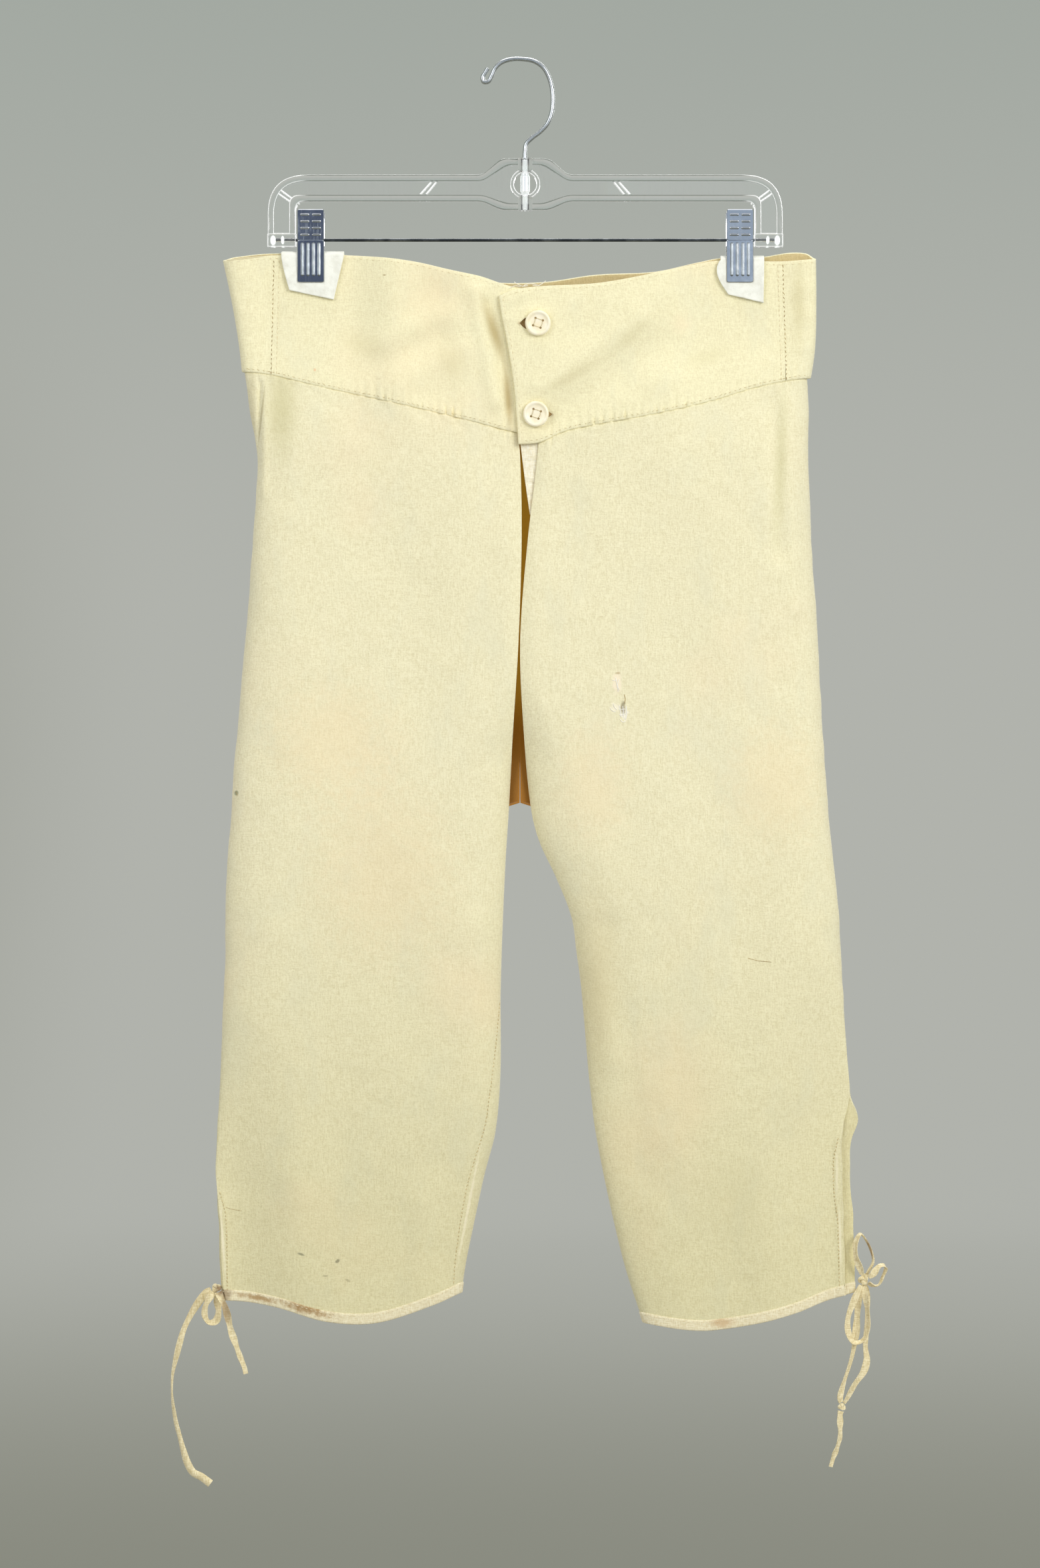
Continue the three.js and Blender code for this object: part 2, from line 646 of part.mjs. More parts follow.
const buttonholes = buttons.map((b) => (
  block(b.slotFrom, b.slotTo, -60, 0, b.z - buttonholeWidth / 2, b.z + buttonholeWidth / 2)
));
addPiece('waistband_front_right', sheet(frontRight, even(17), even(4), cloth.band), 'flannel');
addPiece('waistband_front_left', carve(sheet(frontLeft, even(17), even(5), cloth.band), [], buttonholes), 'flannel');
addPiece('waistband_back', sheet(backBand, backBandColumns, even(4), cloth.band), 'flannel');

const facingPlace = (u, v) => {
  const z = lerp(facingEdges[0].z, facingEdges[facingEdges.length - 1].z, v);
  const x = lerp(read(facingEdges, 'z', z, 'inner'), read(facingEdges, 'z', z, 'outer'), u);
  return new THREE.Vector3(x, -flatDepth('front', x, z) * (1 - crotch.rollShare) + facingSink, z);
};
addPiece('fly_facing', sheet(facingPlace, even(3), even(5), cloth.facing), 'linen');

/** A dished four-hole button with a raised rim, facing -Y. */
function buttonShape() {
  const { radius, thick, rim, dish } = button;
  const profile = [
    [0, 0], [radius - 0.8, 0], [radius, 0.8], [radius, thick - 0.6], [radius - 0.7, thick],
    [radius - rim, thick], [radius - rim - 1, thick - dish], [0, thick - dish],
  ].map(([across, up]) => new THREE.Vector2(across, up));
  const holes = [0, 1, 2, 3].map((i) => {
    const turn = Math.PI / 4 + i * Math.PI / 2;
    return new THREE.CylinderGeometry(button.holeRadius, button.holeRadius, 4 * thick, 8)
      .translate(button.holeSpread * Math.cos(turn), 0, button.holeSpread * Math.sin(turn));
  });
  return carve(new THREE.LatheGeometry(profile, 20), [], holes).rotateX(Math.PI);
}

for (const b of buttons) {
  const around = even(12).map((share) => share * Math.PI * 2);
  const reach = [0, 0.5, 1].flatMap((share) => around.map((angle) => flatDepth(
    'front',
    b.x + share * button.radius * Math.cos(angle),
    b.z + share * button.radius * Math.sin(angle),
  )));
  const back = Math.max(...reach) + cloth.band / 2 + seamGap;
  addPiece(b.name, buttonShape().translate(b.x, -back, b.z), 'button');
}

// ---------------------------------------------------------------- ties

/** A round tube along a smooth route. */
function tube(route, radius, steps, arcSegments) {
  const section = new THREE.Shape().absarc(0, 0, radius, 0, Math.PI * 2);
  return new THREE.ExtrudeGeometry(section, {
    extrudePath: route, steps, bevelEnabled: false, curveSegments: arcSegments,
  });
}

const smoothRoute = (points) => new THREE.CatmullRomCurve3(points, false, 'centripetal');

/** The place just outside a knot in the direction of a point. */
function knotSurface(name, towards) {
  const knot = knots.find((k) => k.name === name);
  const centre = new THREE.Vector3(knot.x, knot.y, knot.z);
  return centre.addScaledVector(towards.clone().sub(centre).normalize(), knot.radius + 0.5);
}

for (const k of knots) {
  addPiece(k.name, new THREE.SphereGeometry(k.radius, 10, 6).translate(k.x, k.y, k.z), 'tape');
}
for (const tie of ties) {
  const points = tie.points.map((p) => new THREE.Vector3(...p));
  const end = tie.to ? [knotSurface(tie.to, points[points.length - 1])] : [];
  const route = smoothRoute([knotSurface(tie.from, points[0]), ...points, ...end]);
  addPiece(tie.name, tube(route, tapeRadius, Math.round(route.getLength() / tapeStep), 4), 'tape');
}

// ---------------------------------------------------------------- hanger, clips and pads

/** An outline with rounded corners; each corner has x, z and a radius r. */
function roundedOutline(corners) {
  const shape = new THREE.Shape();
  corners.forEach((corner, i) => {
    const here = new THREE.Vector2(corner.x, corner.z);
    const towards = (other) => new THREE.Vector2(other.x, other.z).sub(here).normalize();
    const start = here.clone().addScaledVector(towards(corners.at(i - 1)), corner.r);
    const end = here.clone().addScaledVector(towards(corners[(i + 1) % corners.length]), corner.r);
    if (i === 0) shape.moveTo(start.x, start.y);
    else shape.lineTo(start.x, start.y);
    shape.quadraticCurveTo(here.x, here.y, end.x, end.y);
  });
  return shape.closePath();
}

/** The hanger's outline, drawn in from its edge by an even inset. */
function hangerOutline(inset) {
  const h = hanger;
  const legInner = h.halfLength - h.legWide + inset;
  const half = [
    { x: h.humpHalf - inset, z: h.humpTop - inset, r: 4 },
    { x: h.humpHalf + h.humpSlope, z: h.beamTop - inset, r: 4 },
    { x: h.halfLength - inset, z: h.beamTop - inset, r: h.corner - inset },
    { x: h.halfLength - inset, z: h.legBottom + inset, r: 1 },
    { x: legInner, z: h.legBottom + inset, r: 1 },
    { x: legInner, z: h.beamBottom + inset, r: h.innerCorner },
    { x: h.humpHalf + h.humpSlope, z: h.beamBottom + inset, r: 4 },
    { x: h.humpHalf - inset, z: h.humpBottom + inset, r: 4 },
  ];
  const mirrored = half.map((c) => ({ ...c, x: -c.x })).reverse();
  return roundedOutline([...half, ...mirrored].map((c) => ({ ...c, x: c.x + h.centreX })));
}

/** A disc in X and Z of a given depth along Y. */
const disc = (x, z, radius, deep) => (
  new THREE.CylinderGeometry(radius, radius, deep, 18).translate(x, 0, z)
);
/** An upright rod and a rod along X. */
const upright = (x, radius, bottom, top) => (
  new THREE.CylinderGeometry(radius, radius, top - bottom, 12).rotateX(Math.PI / 2).translate(x, 0, (top + bottom) / 2)
);
const alongX = (fromX, toX, z, radius) => (
  new THREE.CylinderGeometry(radius, radius, toX - fromX, 12).rotateZ(Math.PI / 2).translate((fromX + toX) / 2, 0, z)
);

/** A straight rib on the hanger's web between two places. */
function rib(x0, z0, x1, z1) {
  const length = Math.hypot(x1 - x0, z1 - z0);
  return new THREE.BoxGeometry(length, hanger.rimThick - 1, 1.6)
    .rotateY(-Math.atan2(z1 - z0, x1 - x0))
    .translate((x0 + x1) / 2, 0, (z0 + z1) / 2);
}

const hangerRim = carve(
  plate(hangerOutline(0), hanger.rimThick), [], [plate(hangerOutline(hanger.rimWide), 2 * hanger.rimThick)],
);
const ribs = [1, -1].flatMap((side) => {
  const x = (offset) => hanger.centreX + side * offset;
  return [rib(x(58), -79.8, x(71.8), -96.2), rib(x(169), -89.2, x(156), -98.8)];
});
const hangerBody = carve(
  plate(hangerOutline(0), hanger.webThick),
  [
    hangerRim,
    disc(hanger.centreX, hanger.ringZ, hanger.ringOuter, hanger.rimThick),
    block(hanger.centreX - hanger.sleeveHalf, hanger.centreX + hanger.sleeveHalf, -hanger.sleeveDeep / 2,
      hanger.sleeveDeep / 2, hanger.ringZ + 9, hanger.humpTop),
    block(hanger.centreX - hanger.sleeveHalf, hanger.centreX + hanger.sleeveHalf, -hanger.sleeveDeep / 2,
      hanger.sleeveDeep / 2, hanger.humpBottom, hanger.ringZ - 9),
    ...ribs,
  ],
  [
    disc(hanger.centreX, hanger.ringZ, hanger.ringInner, 20),
    upright(hook.shaftX, hook.bore, hook.shaftBottom - 0.6, hanger.humpTop + 5),
    alongX(rod.fromX - 0.6, rod.toX + 0.6, rod.z, rod.socket),
  ],
);
addPiece('hanger_body', hangerBody, 'plastic');
addPiece('hanger_rod', alongX(rod.fromX, rod.toX, rod.z, rod.radius), 'chrome');

const hookRoute = smoothRoute([
  [hook.shaftX, 0, hook.shaftBottom], [hook.shaftX, 0, -80], [hook.shaftX, 0, -62], [3, 0, -57], [6.9, 0, -53],
  [12.4, 0, -48.8], [17.4, 0, -43.3], [20.4, 0, -35.8], [21.3, 0, -27], [20.6, 0, -18.2], [18.3, 0, -10.4],
  [14.4, 0, -4], [8.2, 0, 0.1], [0, 0, hook.wire], [-8, 0, 1.3], [-14.4, 0, -0.9], [-18.6, 0, -4.8],
  [-21.2, 0, -10.4], [-23.4, 0, -14], [-26.4, 0, -14.2], [-27.2, 0, -11.2], [-25, 0, -7], [-23.6, 0, -4.6],
].map((p) => new THREE.Vector3(...p)));
addPiece('hanger_hook', tube(hookRoute, hook.wire, 52, 4), 'chrome');

const ferruleProfile = [
  [hook.bore, ferrule.bottom], [ferrule.outer, ferrule.bottom], [ferrule.outer, ferrule.top],
  [hook.bore, ferrule.top], [hook.bore, ferrule.bottom],
].map(([across, up]) => new THREE.Vector2(across, up));
addPiece(
  'hanger_ferrule',
  new THREE.LatheGeometry(ferruleProfile, 16).rotateX(Math.PI / 2).translate(hook.shaftX, 0, 0),
  'chrome',
);

/** One jaw of a clip: a ribbed plate with two ears on the rod; facingSide is -1 in front and 1 behind. */
function clipJaw(x, facingSide, earX) {
  const c = clip;
  const across = (a, b) => [Math.min(facingSide * a, facingSide * b), Math.max(facingSide * a, facingSide * b)];
  const onJaw = (x0, x1, near, far, z0, z1) => block(x + x0, x + x1, ...across(near, far), z0, z1);
  const ear = new THREE.Shape();
  const [earNear, earFar] = across(-c.earReach, c.face + c.thick / 2);
  ear.moveTo(earNear, c.earBottom).lineTo(earFar, c.earBottom).lineTo(earFar, c.earTop).lineTo(earNear, c.earTop);
  ear.closePath();
  const ears = [1, -1].map((side) => plate(ear, c.earThick).rotateZ(Math.PI / 2).translate(x + side * earX, 0, 0));
  const outside = c.face + c.thick;
  const shortRibs = [-107, -111.6, -116.2, -120.8].flatMap((z) => (
    [-1, 1].map((side) => onJaw(side * 4 - 3.2, side * 4 + 3.2, outside - 0.3, outside + c.ribHigh, z - 0.8, z + 0.8))
  ));
  const longRibs = [-5.7, -1.9, 1.9, 5.7].map((offset) => (
    onJaw(offset - 0.8, offset + 0.8, outside - 0.3, outside + c.ribHigh, -149.4, -126)
  ));
  return carve(
    onJaw(-c.wide / 2, c.wide / 2, c.face, outside, c.bottom, c.top),
    [...ears, ...shortRibs, ...longRibs],
    [alongX(x - c.wide, x + c.wide, rod.z, c.earHole)],
  );
}

for (const c of clips) {
  const frontEars = clip.wide / 2 - clip.earThick / 2;
  addPiece(`clip_${c.side}_front`, clipJaw(c.x, -1, frontEars), 'chrome');
  addPiece(`clip_${c.side}_back`, clipJaw(c.x, 1, frontEars - clip.earThick - 0.4), 'chrome');
}

// Folded pads: one bent over the band's top under each clip.
const pads = [
  { side: 'right', top: -134.9, topFrom: -166, topTo: -123.3, lowFrom: -160.5, lowTo: -130.2, lowZFrom: -158.4,
    lowZTo: -164.8 },
  { side: 'left', top: -137.9, topFrom: 133.4, topTo: 166.9, lowFrom: 135, lowTo: 166.5, lowZFrom: -162.5,
    lowZTo: -167 },
];
const padBend = pinch.half + cloth.band / 2 + 0.35 + cloth.pad / 2;
const padArcShare = 0.3;

function padPlace(pad, u, v) {
  const drop = (1 - padArcShare) / 2;
  const lowZ = lerp(pad.lowZFrom, pad.lowZTo, u);
  const down = clamp(1 - Math.min(v, 1 - v) / drop, 0, 1);
  const angle = clamp((v - drop) / padArcShare, 0, 1) * Math.PI;
  const x = lerp(lerp(pad.topFrom, pad.topTo, u), lerp(pad.lowFrom, pad.lowTo, u), down);
  const z = lerp(pad.top, lowZ, down) + padBend * Math.sin(angle);
  return new THREE.Vector3(x, -padBend * Math.cos(angle), z);
}
const padLevels = [0, 0.175, 0.35, 0.4, 0.45, 0.5, 0.55, 0.6, 0.65, 0.825, 1];
for (const pad of pads) {
  addPiece(`pad_${pad.side}`, sheet((u, v) => padPlace(pad, u, v), even(3), padLevels, cloth.pad), 'padding');
}

export default garment;
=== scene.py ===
from collections import namedtuple
from math import copysign, cos, pi, radians, sin, sqrt

import bpy
import numpy as np
from mathutils import Matrix, Vector
from mathutils.bvhtree import BVHTree


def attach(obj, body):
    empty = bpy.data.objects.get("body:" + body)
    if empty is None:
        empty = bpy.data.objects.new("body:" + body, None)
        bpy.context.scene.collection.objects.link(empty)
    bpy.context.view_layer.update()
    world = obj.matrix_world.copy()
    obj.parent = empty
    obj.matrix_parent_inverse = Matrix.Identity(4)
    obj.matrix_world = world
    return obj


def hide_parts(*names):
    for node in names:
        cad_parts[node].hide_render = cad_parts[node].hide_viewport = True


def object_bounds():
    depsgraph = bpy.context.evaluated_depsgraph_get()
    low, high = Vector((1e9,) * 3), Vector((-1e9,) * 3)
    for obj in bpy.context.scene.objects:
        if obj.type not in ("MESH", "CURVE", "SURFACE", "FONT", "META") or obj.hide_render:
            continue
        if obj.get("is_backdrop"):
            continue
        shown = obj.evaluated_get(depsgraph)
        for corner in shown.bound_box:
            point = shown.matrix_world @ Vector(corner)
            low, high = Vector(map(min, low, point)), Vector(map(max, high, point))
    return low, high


# Calf-length flannel drawers on a clear clip hanger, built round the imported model.
# Shapes are worked out in millimetres and written to the meshes in metres:
# +Z up, the front towards -Y, the wearer's right side at -X.

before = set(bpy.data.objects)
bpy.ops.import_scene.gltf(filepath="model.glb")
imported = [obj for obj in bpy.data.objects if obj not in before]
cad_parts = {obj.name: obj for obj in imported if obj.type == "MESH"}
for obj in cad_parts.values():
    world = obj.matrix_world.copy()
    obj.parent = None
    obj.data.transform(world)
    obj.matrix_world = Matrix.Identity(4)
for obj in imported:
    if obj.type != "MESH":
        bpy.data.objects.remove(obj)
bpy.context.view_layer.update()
mm = 0.001

# The camera looks level along +Y; its place and the height that it takes in, at the cloth.
flyMiddle = -1.4
viewpoint = {"x": flyMiddle, "z": -499.8, "distance": 3200, "frameHeight": 1084.4, "sensor": 36}

camera = bpy.data.objects.new("camera", bpy.data.cameras.new("camera"))
camera.data.sensor_width = viewpoint["sensor"]
camera.data.lens = viewpoint["sensor"] * viewpoint["distance"] / viewpoint["frameHeight"]
camera.data.clip_end = 60
camera.location = (viewpoint["x"] * mm, -viewpoint["distance"] * mm, viewpoint["z"] * mm)
camera.rotation_euler = (radians(90), 0, 0)
bpy.context.scene.collection.objects.link(camera)
bpy.context.scene.camera = camera
bpy.context.scene.view_settings.view_transform = "Standard"


# Small sums that the shapes share.

def smoothstep(value, low, high):
    share = np.clip((value - low) / (high - low), 0, 1)
    return share * share * (3 - 2 * share)


def lerp(start, end, share):
    return start + (end - start) * share


def read(rows, place, column=1):
    # smooth value of one column of a table at places along its first column
    table = np.array(rows, float)
    keys, values = table[:, 0], table[:, column]
    if keys[0] > keys[-1]:
        keys, values = keys[::-1], values[::-1]
    slopes = np.empty_like(values)
    slopes[1:-1] = (values[2:] - values[:-2]) / (keys[2:] - keys[:-2])
    slopes[0] = (values[1] - values[0]) / (keys[1] - keys[0])
    slopes[-1] = (values[-1] - values[-2]) / (keys[-1] - keys[-2])
    i = np.clip(np.searchsorted(keys, place) - 1, 0, len(keys) - 2)
    span = keys[i + 1] - keys[i]
    share = np.clip((place - keys[i]) / span, 0, 1)
    rise = share * share * (3 - 2 * share)
    bend = span * share * (1 - share) * ((1 - share) * slopes[i] - share * slopes[i + 1])
    return values[i] * (1 - rise) + values[i + 1] * rise + bend


def lineHeight(lines, x, z):
    # summed height of soft ridges and troughs, each along a straight line
    total = np.zeros(np.broadcast(x, z).shape)
    for x0, z0, x1, z1, width, height in lines:
        dx, dz = x1 - x0, z1 - z0
        along = np.clip(((x - x0) * dx + (z - z0) * dz) / (dx * dx + dz * dz), 0, 1)
        away = np.hypot(x - x0 - along * dx, z - z0 - along * dz)
        total = total + height * np.exp(-(away / width) ** 2)
    return total


def ripple(x, z, form):
    # gentle unevenness: waves of many lengths and directions, the same at each run
    draw = np.random.default_rng(form["seed"])
    total = np.zeros(np.broadcast(x, z).shape)
    for _ in range(form["waves"]):
        length = form["shortest"] * (form["longest"] / form["shortest"]) ** draw.random()
        angle = draw.normal(0, form["spread"])
        phase = draw.random() * 2 * pi
        across = (x * cos(angle) + z * sin(angle)) * 2 * pi / length
        total = total + np.sin(across + phase) * (length / form["longest"]) ** 0.7
    return total * form["height"] / sqrt(form["waves"])


# Meshes, all made at the origin.

def newMesh(name, points, faces, materials, slots=None, sharp=50):
    # an object at the origin from points in millimetres
    mesh = bpy.data.meshes.new(name)
    mesh.from_pydata((np.asarray(points, float) * mm).tolist(), [], faces)
    for material in materials:
        mesh.materials.append(material)
    if slots is not None:
        mesh.polygons.foreach_set("material_index", slots)
    mesh.polygons.foreach_set("use_smooth", [True] * len(mesh.polygons))
    mesh.update()
    mesh.set_sharp_from_angle(angle=radians(sharp))
    piece = bpy.data.objects.new(name, mesh)
    bpy.context.scene.collection.objects.link(piece)
    return piece


def turnOutwards(points, faces):
    # the faces of a closed body, all turned over if they enclose a negative volume
    p = np.asarray(points, float)
    volume = 0.0
    for face in faces:
        a = p[face[0]]
        for b, c in zip(face[1:-1], face[2:]):
            volume += float(np.dot(a, np.cross(p[b], p[c])))
    return faces if volume > 0 else [tuple(reversed(face)) for face in faces]


def ringFaces(rings, sides, closed=False):
    # the faces between neighbouring rings of points, the last and the first too if closed
    faces = []
    for j in range(rings if closed else rings - 1):
        n = (j + 1) % rings
        for k in range(sides):
            m = (k + 1) % sides
            faces.append((j * sides + k, j * sides + m, n * sides + m, n * sides + k))
    return faces


def prismMesh(name, points, material):
    # a closed body between two outlines of equal length, which follow each other in points
    size = len(points) // 2
    faces = ringFaces(2, size) + [tuple(reversed(range(size))), tuple(range(size, 2 * size))]
    return newMesh(name, points, turnOutwards(points, faces), [material])


def turns(count):
    # angles all the way round
    return [2 * pi * k / count for k in range(count)]


def even(cells, start=0.0, end=1.0):
    return np.linspace(start, end, cells + 1)


def sheetMesh(name, place, us, vs, thick, materials, facing, bulge=(1, 1, 1, 1), lobes=1, sharp=50):
    # a wall of cloth about the surface place(u, v), its outside mostly towards facing; bulge says how
    # far each edge rounds out (u start, u end, v start, v end), lobes how many layers the edge shows
    u, v = np.meshgrid(us, vs)
    grid = place(u, v)
    alongU = np.gradient(grid, axis=1)
    alongV = np.gradient(grid, axis=0)
    alongU /= np.linalg.norm(alongU, axis=2, keepdims=True) + 1e-12
    alongV /= np.linalg.norm(alongV, axis=2, keepdims=True) + 1e-12
    normal = np.cross(alongU, alongV)
    normal /= np.linalg.norm(normal, axis=2, keepdims=True) + 1e-12
    if (normal @ np.array(facing, float)).sum() < 0:
        normal = -normal
    rows, columns = u.shape
    layer = rows * columns
    index = np.arange(layer).reshape(rows, columns)
    a, b, c, d = index[:-1, :-1], index[:-1, 1:], index[1:, 1:], index[1:, :-1]
    outer = np.stack([a, b, c, d], axis=-1).reshape(-1, 4)
    faces = np.concatenate([outer, outer[:, ::-1] + layer])
    points = [(grid + normal * thick / 2).reshape(-1, 3), (grid - normal * thick / 2).reshape(-1, 3)]
    rim = [(0, i) for i in range(columns)] + [(j, columns - 1) for j in range(1, rows)]
    rim += [(rows - 1, i) for i in range(columns - 2, -1, -1)] + [(j, 0) for j in range(rows - 2, 0, -1)]
    rim = np.array(rim)
    j, i = rim[:, 0], rim[:, 1]
    away = np.zeros((len(rim), 3))
    away += np.where(i == 0, bulge[0], 0)[:, None] * -alongU[j, i]
    away += np.where(i == columns - 1, bulge[1], 0)[:, None] * alongU[j, i]
    away += np.where(j == 0, bulge[2], 0)[:, None] * -alongV[j, i]
    away += np.where(j == rows - 1, bulge[3], 0)[:, None] * alongV[j, i]
    shares = [0.14, 0.5, 0.86] if lobes == 1 else [(k + 0.5) / (4 * lobes) for k in range(4 * lobes)]
    rings = [index[j, i]]
    for count, share in enumerate(shares):
        swell = sqrt(1 - (2 * share - 1) ** 2) if lobes == 1 else abs(sin(share * lobes * pi))
        ring = grid[j, i] + normal[j, i] * thick * (0.5 - share) + away * swell * thick / 2 / lobes ** 0.5
        points.append(ring)
        rings.append(2 * layer + count * len(rim) + np.arange(len(rim)))
    rings.append(index[j, i] + layer)
    edge = []
    for near, far in zip(rings[:-1], rings[1:]):
        edge.append(np.stack([near, far, np.roll(far, -1), np.roll(near, -1)], axis=-1))
    faces = np.concatenate([faces, *edge])
    slots = np.zeros(len(faces), int)
    if len(materials) > 1:
        slots[len(outer):2 * len(outer)] = 1
    points = np.concatenate(points)
    corners = points[faces]
    first, second = corners[:, 1] - corners[:, 0], corners[:, 2] - corners[:, 0]
    third = corners[:, 3] - corners[:, 0]
    volume = np.einsum("ij,ij->i", corners[:, 0], np.cross(first, second) + np.cross(second, third)).sum()
    if volume < 0:
        faces = faces[:, ::-1]
    return newMesh(name, points, faces.tolist(), materials, slots.tolist(), sharp=sharp)


def smoothRoute(points, perSpan):
    # a centripetal curve through points, with perSpan steps from each to the next
    p = [Vector(q) for q in points]
    p = [2 * p[0] - p[1]] + p + [2 * p[-1] - p[-2]]
    made = []
    for i in range(1, len(p) - 2):
        a, b, c, d = p[i - 1:i + 3]
        t0 = 0.0
        t1 = t0 + (b - a).length ** 0.5
        t2 = t1 + (c - b).length ** 0.5
        t3 = t2 + (d - c).length ** 0.5
        for k in range(perSpan):
            t = t1 + (t2 - t1) * k / perSpan
            e = a * ((t1 - t) / (t1 - t0)) + b * ((t - t0) / (t1 - t0))
            f = b * ((t2 - t) / (t2 - t1)) + c * ((t - t1) / (t2 - t1))
            g = c * ((t3 - t) / (t3 - t2)) + d * ((t - t2) / (t3 - t2))
            h = e * ((t2 - t) / (t2 - t0)) + f * ((t - t0) / (t2 - t0))
            k2 = f * ((t3 - t) / (t3 - t1)) + g * ((t - t1) / (t3 - t1))
            made.append(h * ((t2 - t) / (t2 - t1)) + k2 * ((t - t1) / (t2 - t1)))
    return made + [p[-2]]


def sweep(route, section, closed=False, start=(0, -1, 0)):
    # points and faces of a section swept along a route; section(share) gives (across, out) pairs
    count = len(route)
    points = []
    out = Vector(start)
    length = sum((b - a).length for a, b in zip(route[:-1], route[1:]))
    gone = 0.0
    for i, here in enumerate(route):
        before = route[i - 1] if i or closed else here
        after = route[(i + 1) % count] if i + 1 < count or closed else here
        tangent = (after - before).normalized()
        out = (out - tangent * out.dot(tangent)).normalized()
        across = tangent.cross(out)
        if i:
            gone += (here - route[i - 1]).length
        for x, y in section(gone / length):
            points.append(here + across * x + out * y)
    size = len(section(0.0))
    faces = ringFaces(count, size, closed)
    if not closed:
        faces.append(tuple(reversed(range(size))))
        faces.append(tuple((count - 1) * size + j for j in range(size)))
    return points, turnOutwards(points, faces)


def tubeMesh(name, route, radius, sides, material, rounded=True):
    # a round wire; its ends are domed if rounded
    route = [Vector(p) for p in route]
    length = sum((b - a).length for a, b in zip(route[:-1], route[1:]))

    def section(share):
        away = min(share, 1 - share) * length
        size = radius
        if rounded and away < radius:
            size = radius * max(sqrt(1 - (1 - away / radius) ** 2), 0.2)
        return [(size * cos(t), size * sin(t)) for t in turns(sides)]

    if rounded:
        lead = (route[1] - route[0]).normalized() * radius
        tail = (route[-2] - route[-1]).normalized() * radius
        steps = (0.08, 0.3, 0.62, 1.0)
        route = [route[0]] + [route[0] + lead * s for s in steps] + route[1:-1] \
            + [route[-1] + tail * s for s in reversed(steps)] + [route[-1]]
    points, faces = sweep(route, section)
    return newMesh(name, [tuple(p) for p in points], faces, [material])


def onAxisOf(axis, centre, across, up, depth):
    x, y, z = {"X": (depth, across, up), "Y": (across, depth, up), "Z": (across, up, depth)}[axis]
    return centre[0] + x, centre[1] + y, centre[2] + z


def latheMesh(name, profile, sides, centre, material, axis="Y", sharp=35):
    # a profile of (radius, depth) pairs that starts and ends on the axis or closes on itself,
    # turned about a line through centre
    onAxis = profile[0][0] == 0
    ring = profile[1:-1] if onAxis else profile[:-1]
    points = [onAxisOf(axis, centre, radius * cos(t), radius * sin(t), depth)
              for radius, depth in ring for t in turns(sides)]
    count = len(ring)
    faces = ringFaces(count, sides, not onAxis)
    if onAxis:
        for end, j in ((profile[0], 0), (profile[-1], count - 1)):
            points.append(onAxisOf(axis, centre, 0, 0, end[1]))
            tip = len(points) - 1
            for k in range(sides):
                m = (k + 1) % sides
                face = (tip, j * sides + m, j * sides + k)
                faces.append(face if j == 0 else tuple(reversed(face)))
    return newMesh(name, points, turnOutwards(points, faces), [material], sharp=sharp)


def applied(piece):
    # the piece with its modifiers made real
    bpy.context.view_layer.update()
    seen = piece.evaluated_get(bpy.context.evaluated_depsgraph_get())
    mesh = bpy.data.meshes.new_from_object(seen)
    piece.modifiers.clear()
    old = piece.data
    piece.data = mesh
    bpy.data.meshes.remove(old)
    return piece


def boolean(piece, other, operation):
    cut = piece.modifiers.new("cut", "BOOLEAN")
    cut.operation = operation
    cut.object = other
    cut.solver = "EXACT"
    applied(piece)
    bpy.data.objects.remove(other)
    return piece


def joined(name, pieces, sharp=40):
    # several objects as one, keeping each face's material
    points, faces, slots, materials = [], [], [], []
    for piece in pieces:
        first = len(points)
        points += [tuple(v.co / mm) for v in piece.data.vertices]
        for material in piece.data.materials:
            if material not in materials:
                materials.append(material)
        for polygon in piece.data.polygons:
            faces.append(tuple(first + k for k in polygon.vertices))
            slots.append(materials.index(piece.data.materials[polygon.material_index]))
        bpy.data.objects.remove(piece)
    return newMesh(name, points, faces, materials, slots, sharp=sharp)


def settle(piece, slot, *nodes):
    # the piece rides on the one body and stands for its CAD nodes
    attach(piece, "root")
    if nodes:
        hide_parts(*nodes)
    return piece


# Node graphs for finishes and for what repeats.

def operator(kind, reflected=False):
    # a method that puts a Math node behind an operator
    def method(self, other):
        return self.graph.maths(kind, other, self) if reflected else self.graph.maths(kind, self, other)
    return method


class Wire:
    # an output socket; arithmetic on it adds Math nodes
    def __init__(self, graph, socket):
        self.graph = graph
        self.socket = socket

    def output(self, name):
        return Wire(self.graph, self.socket.node.outputs[name])

    __add__ = operator("ADD")
    __radd__ = operator("ADD", True)
    __sub__ = operator("SUBTRACT")
    __rsub__ = operator("SUBTRACT", True)
    __mul__ = operator("MULTIPLY")
    __rmul__ = operator("MULTIPLY", True)
    __truediv__ = operator("DIVIDE")
    __pow__ = operator("POWER")


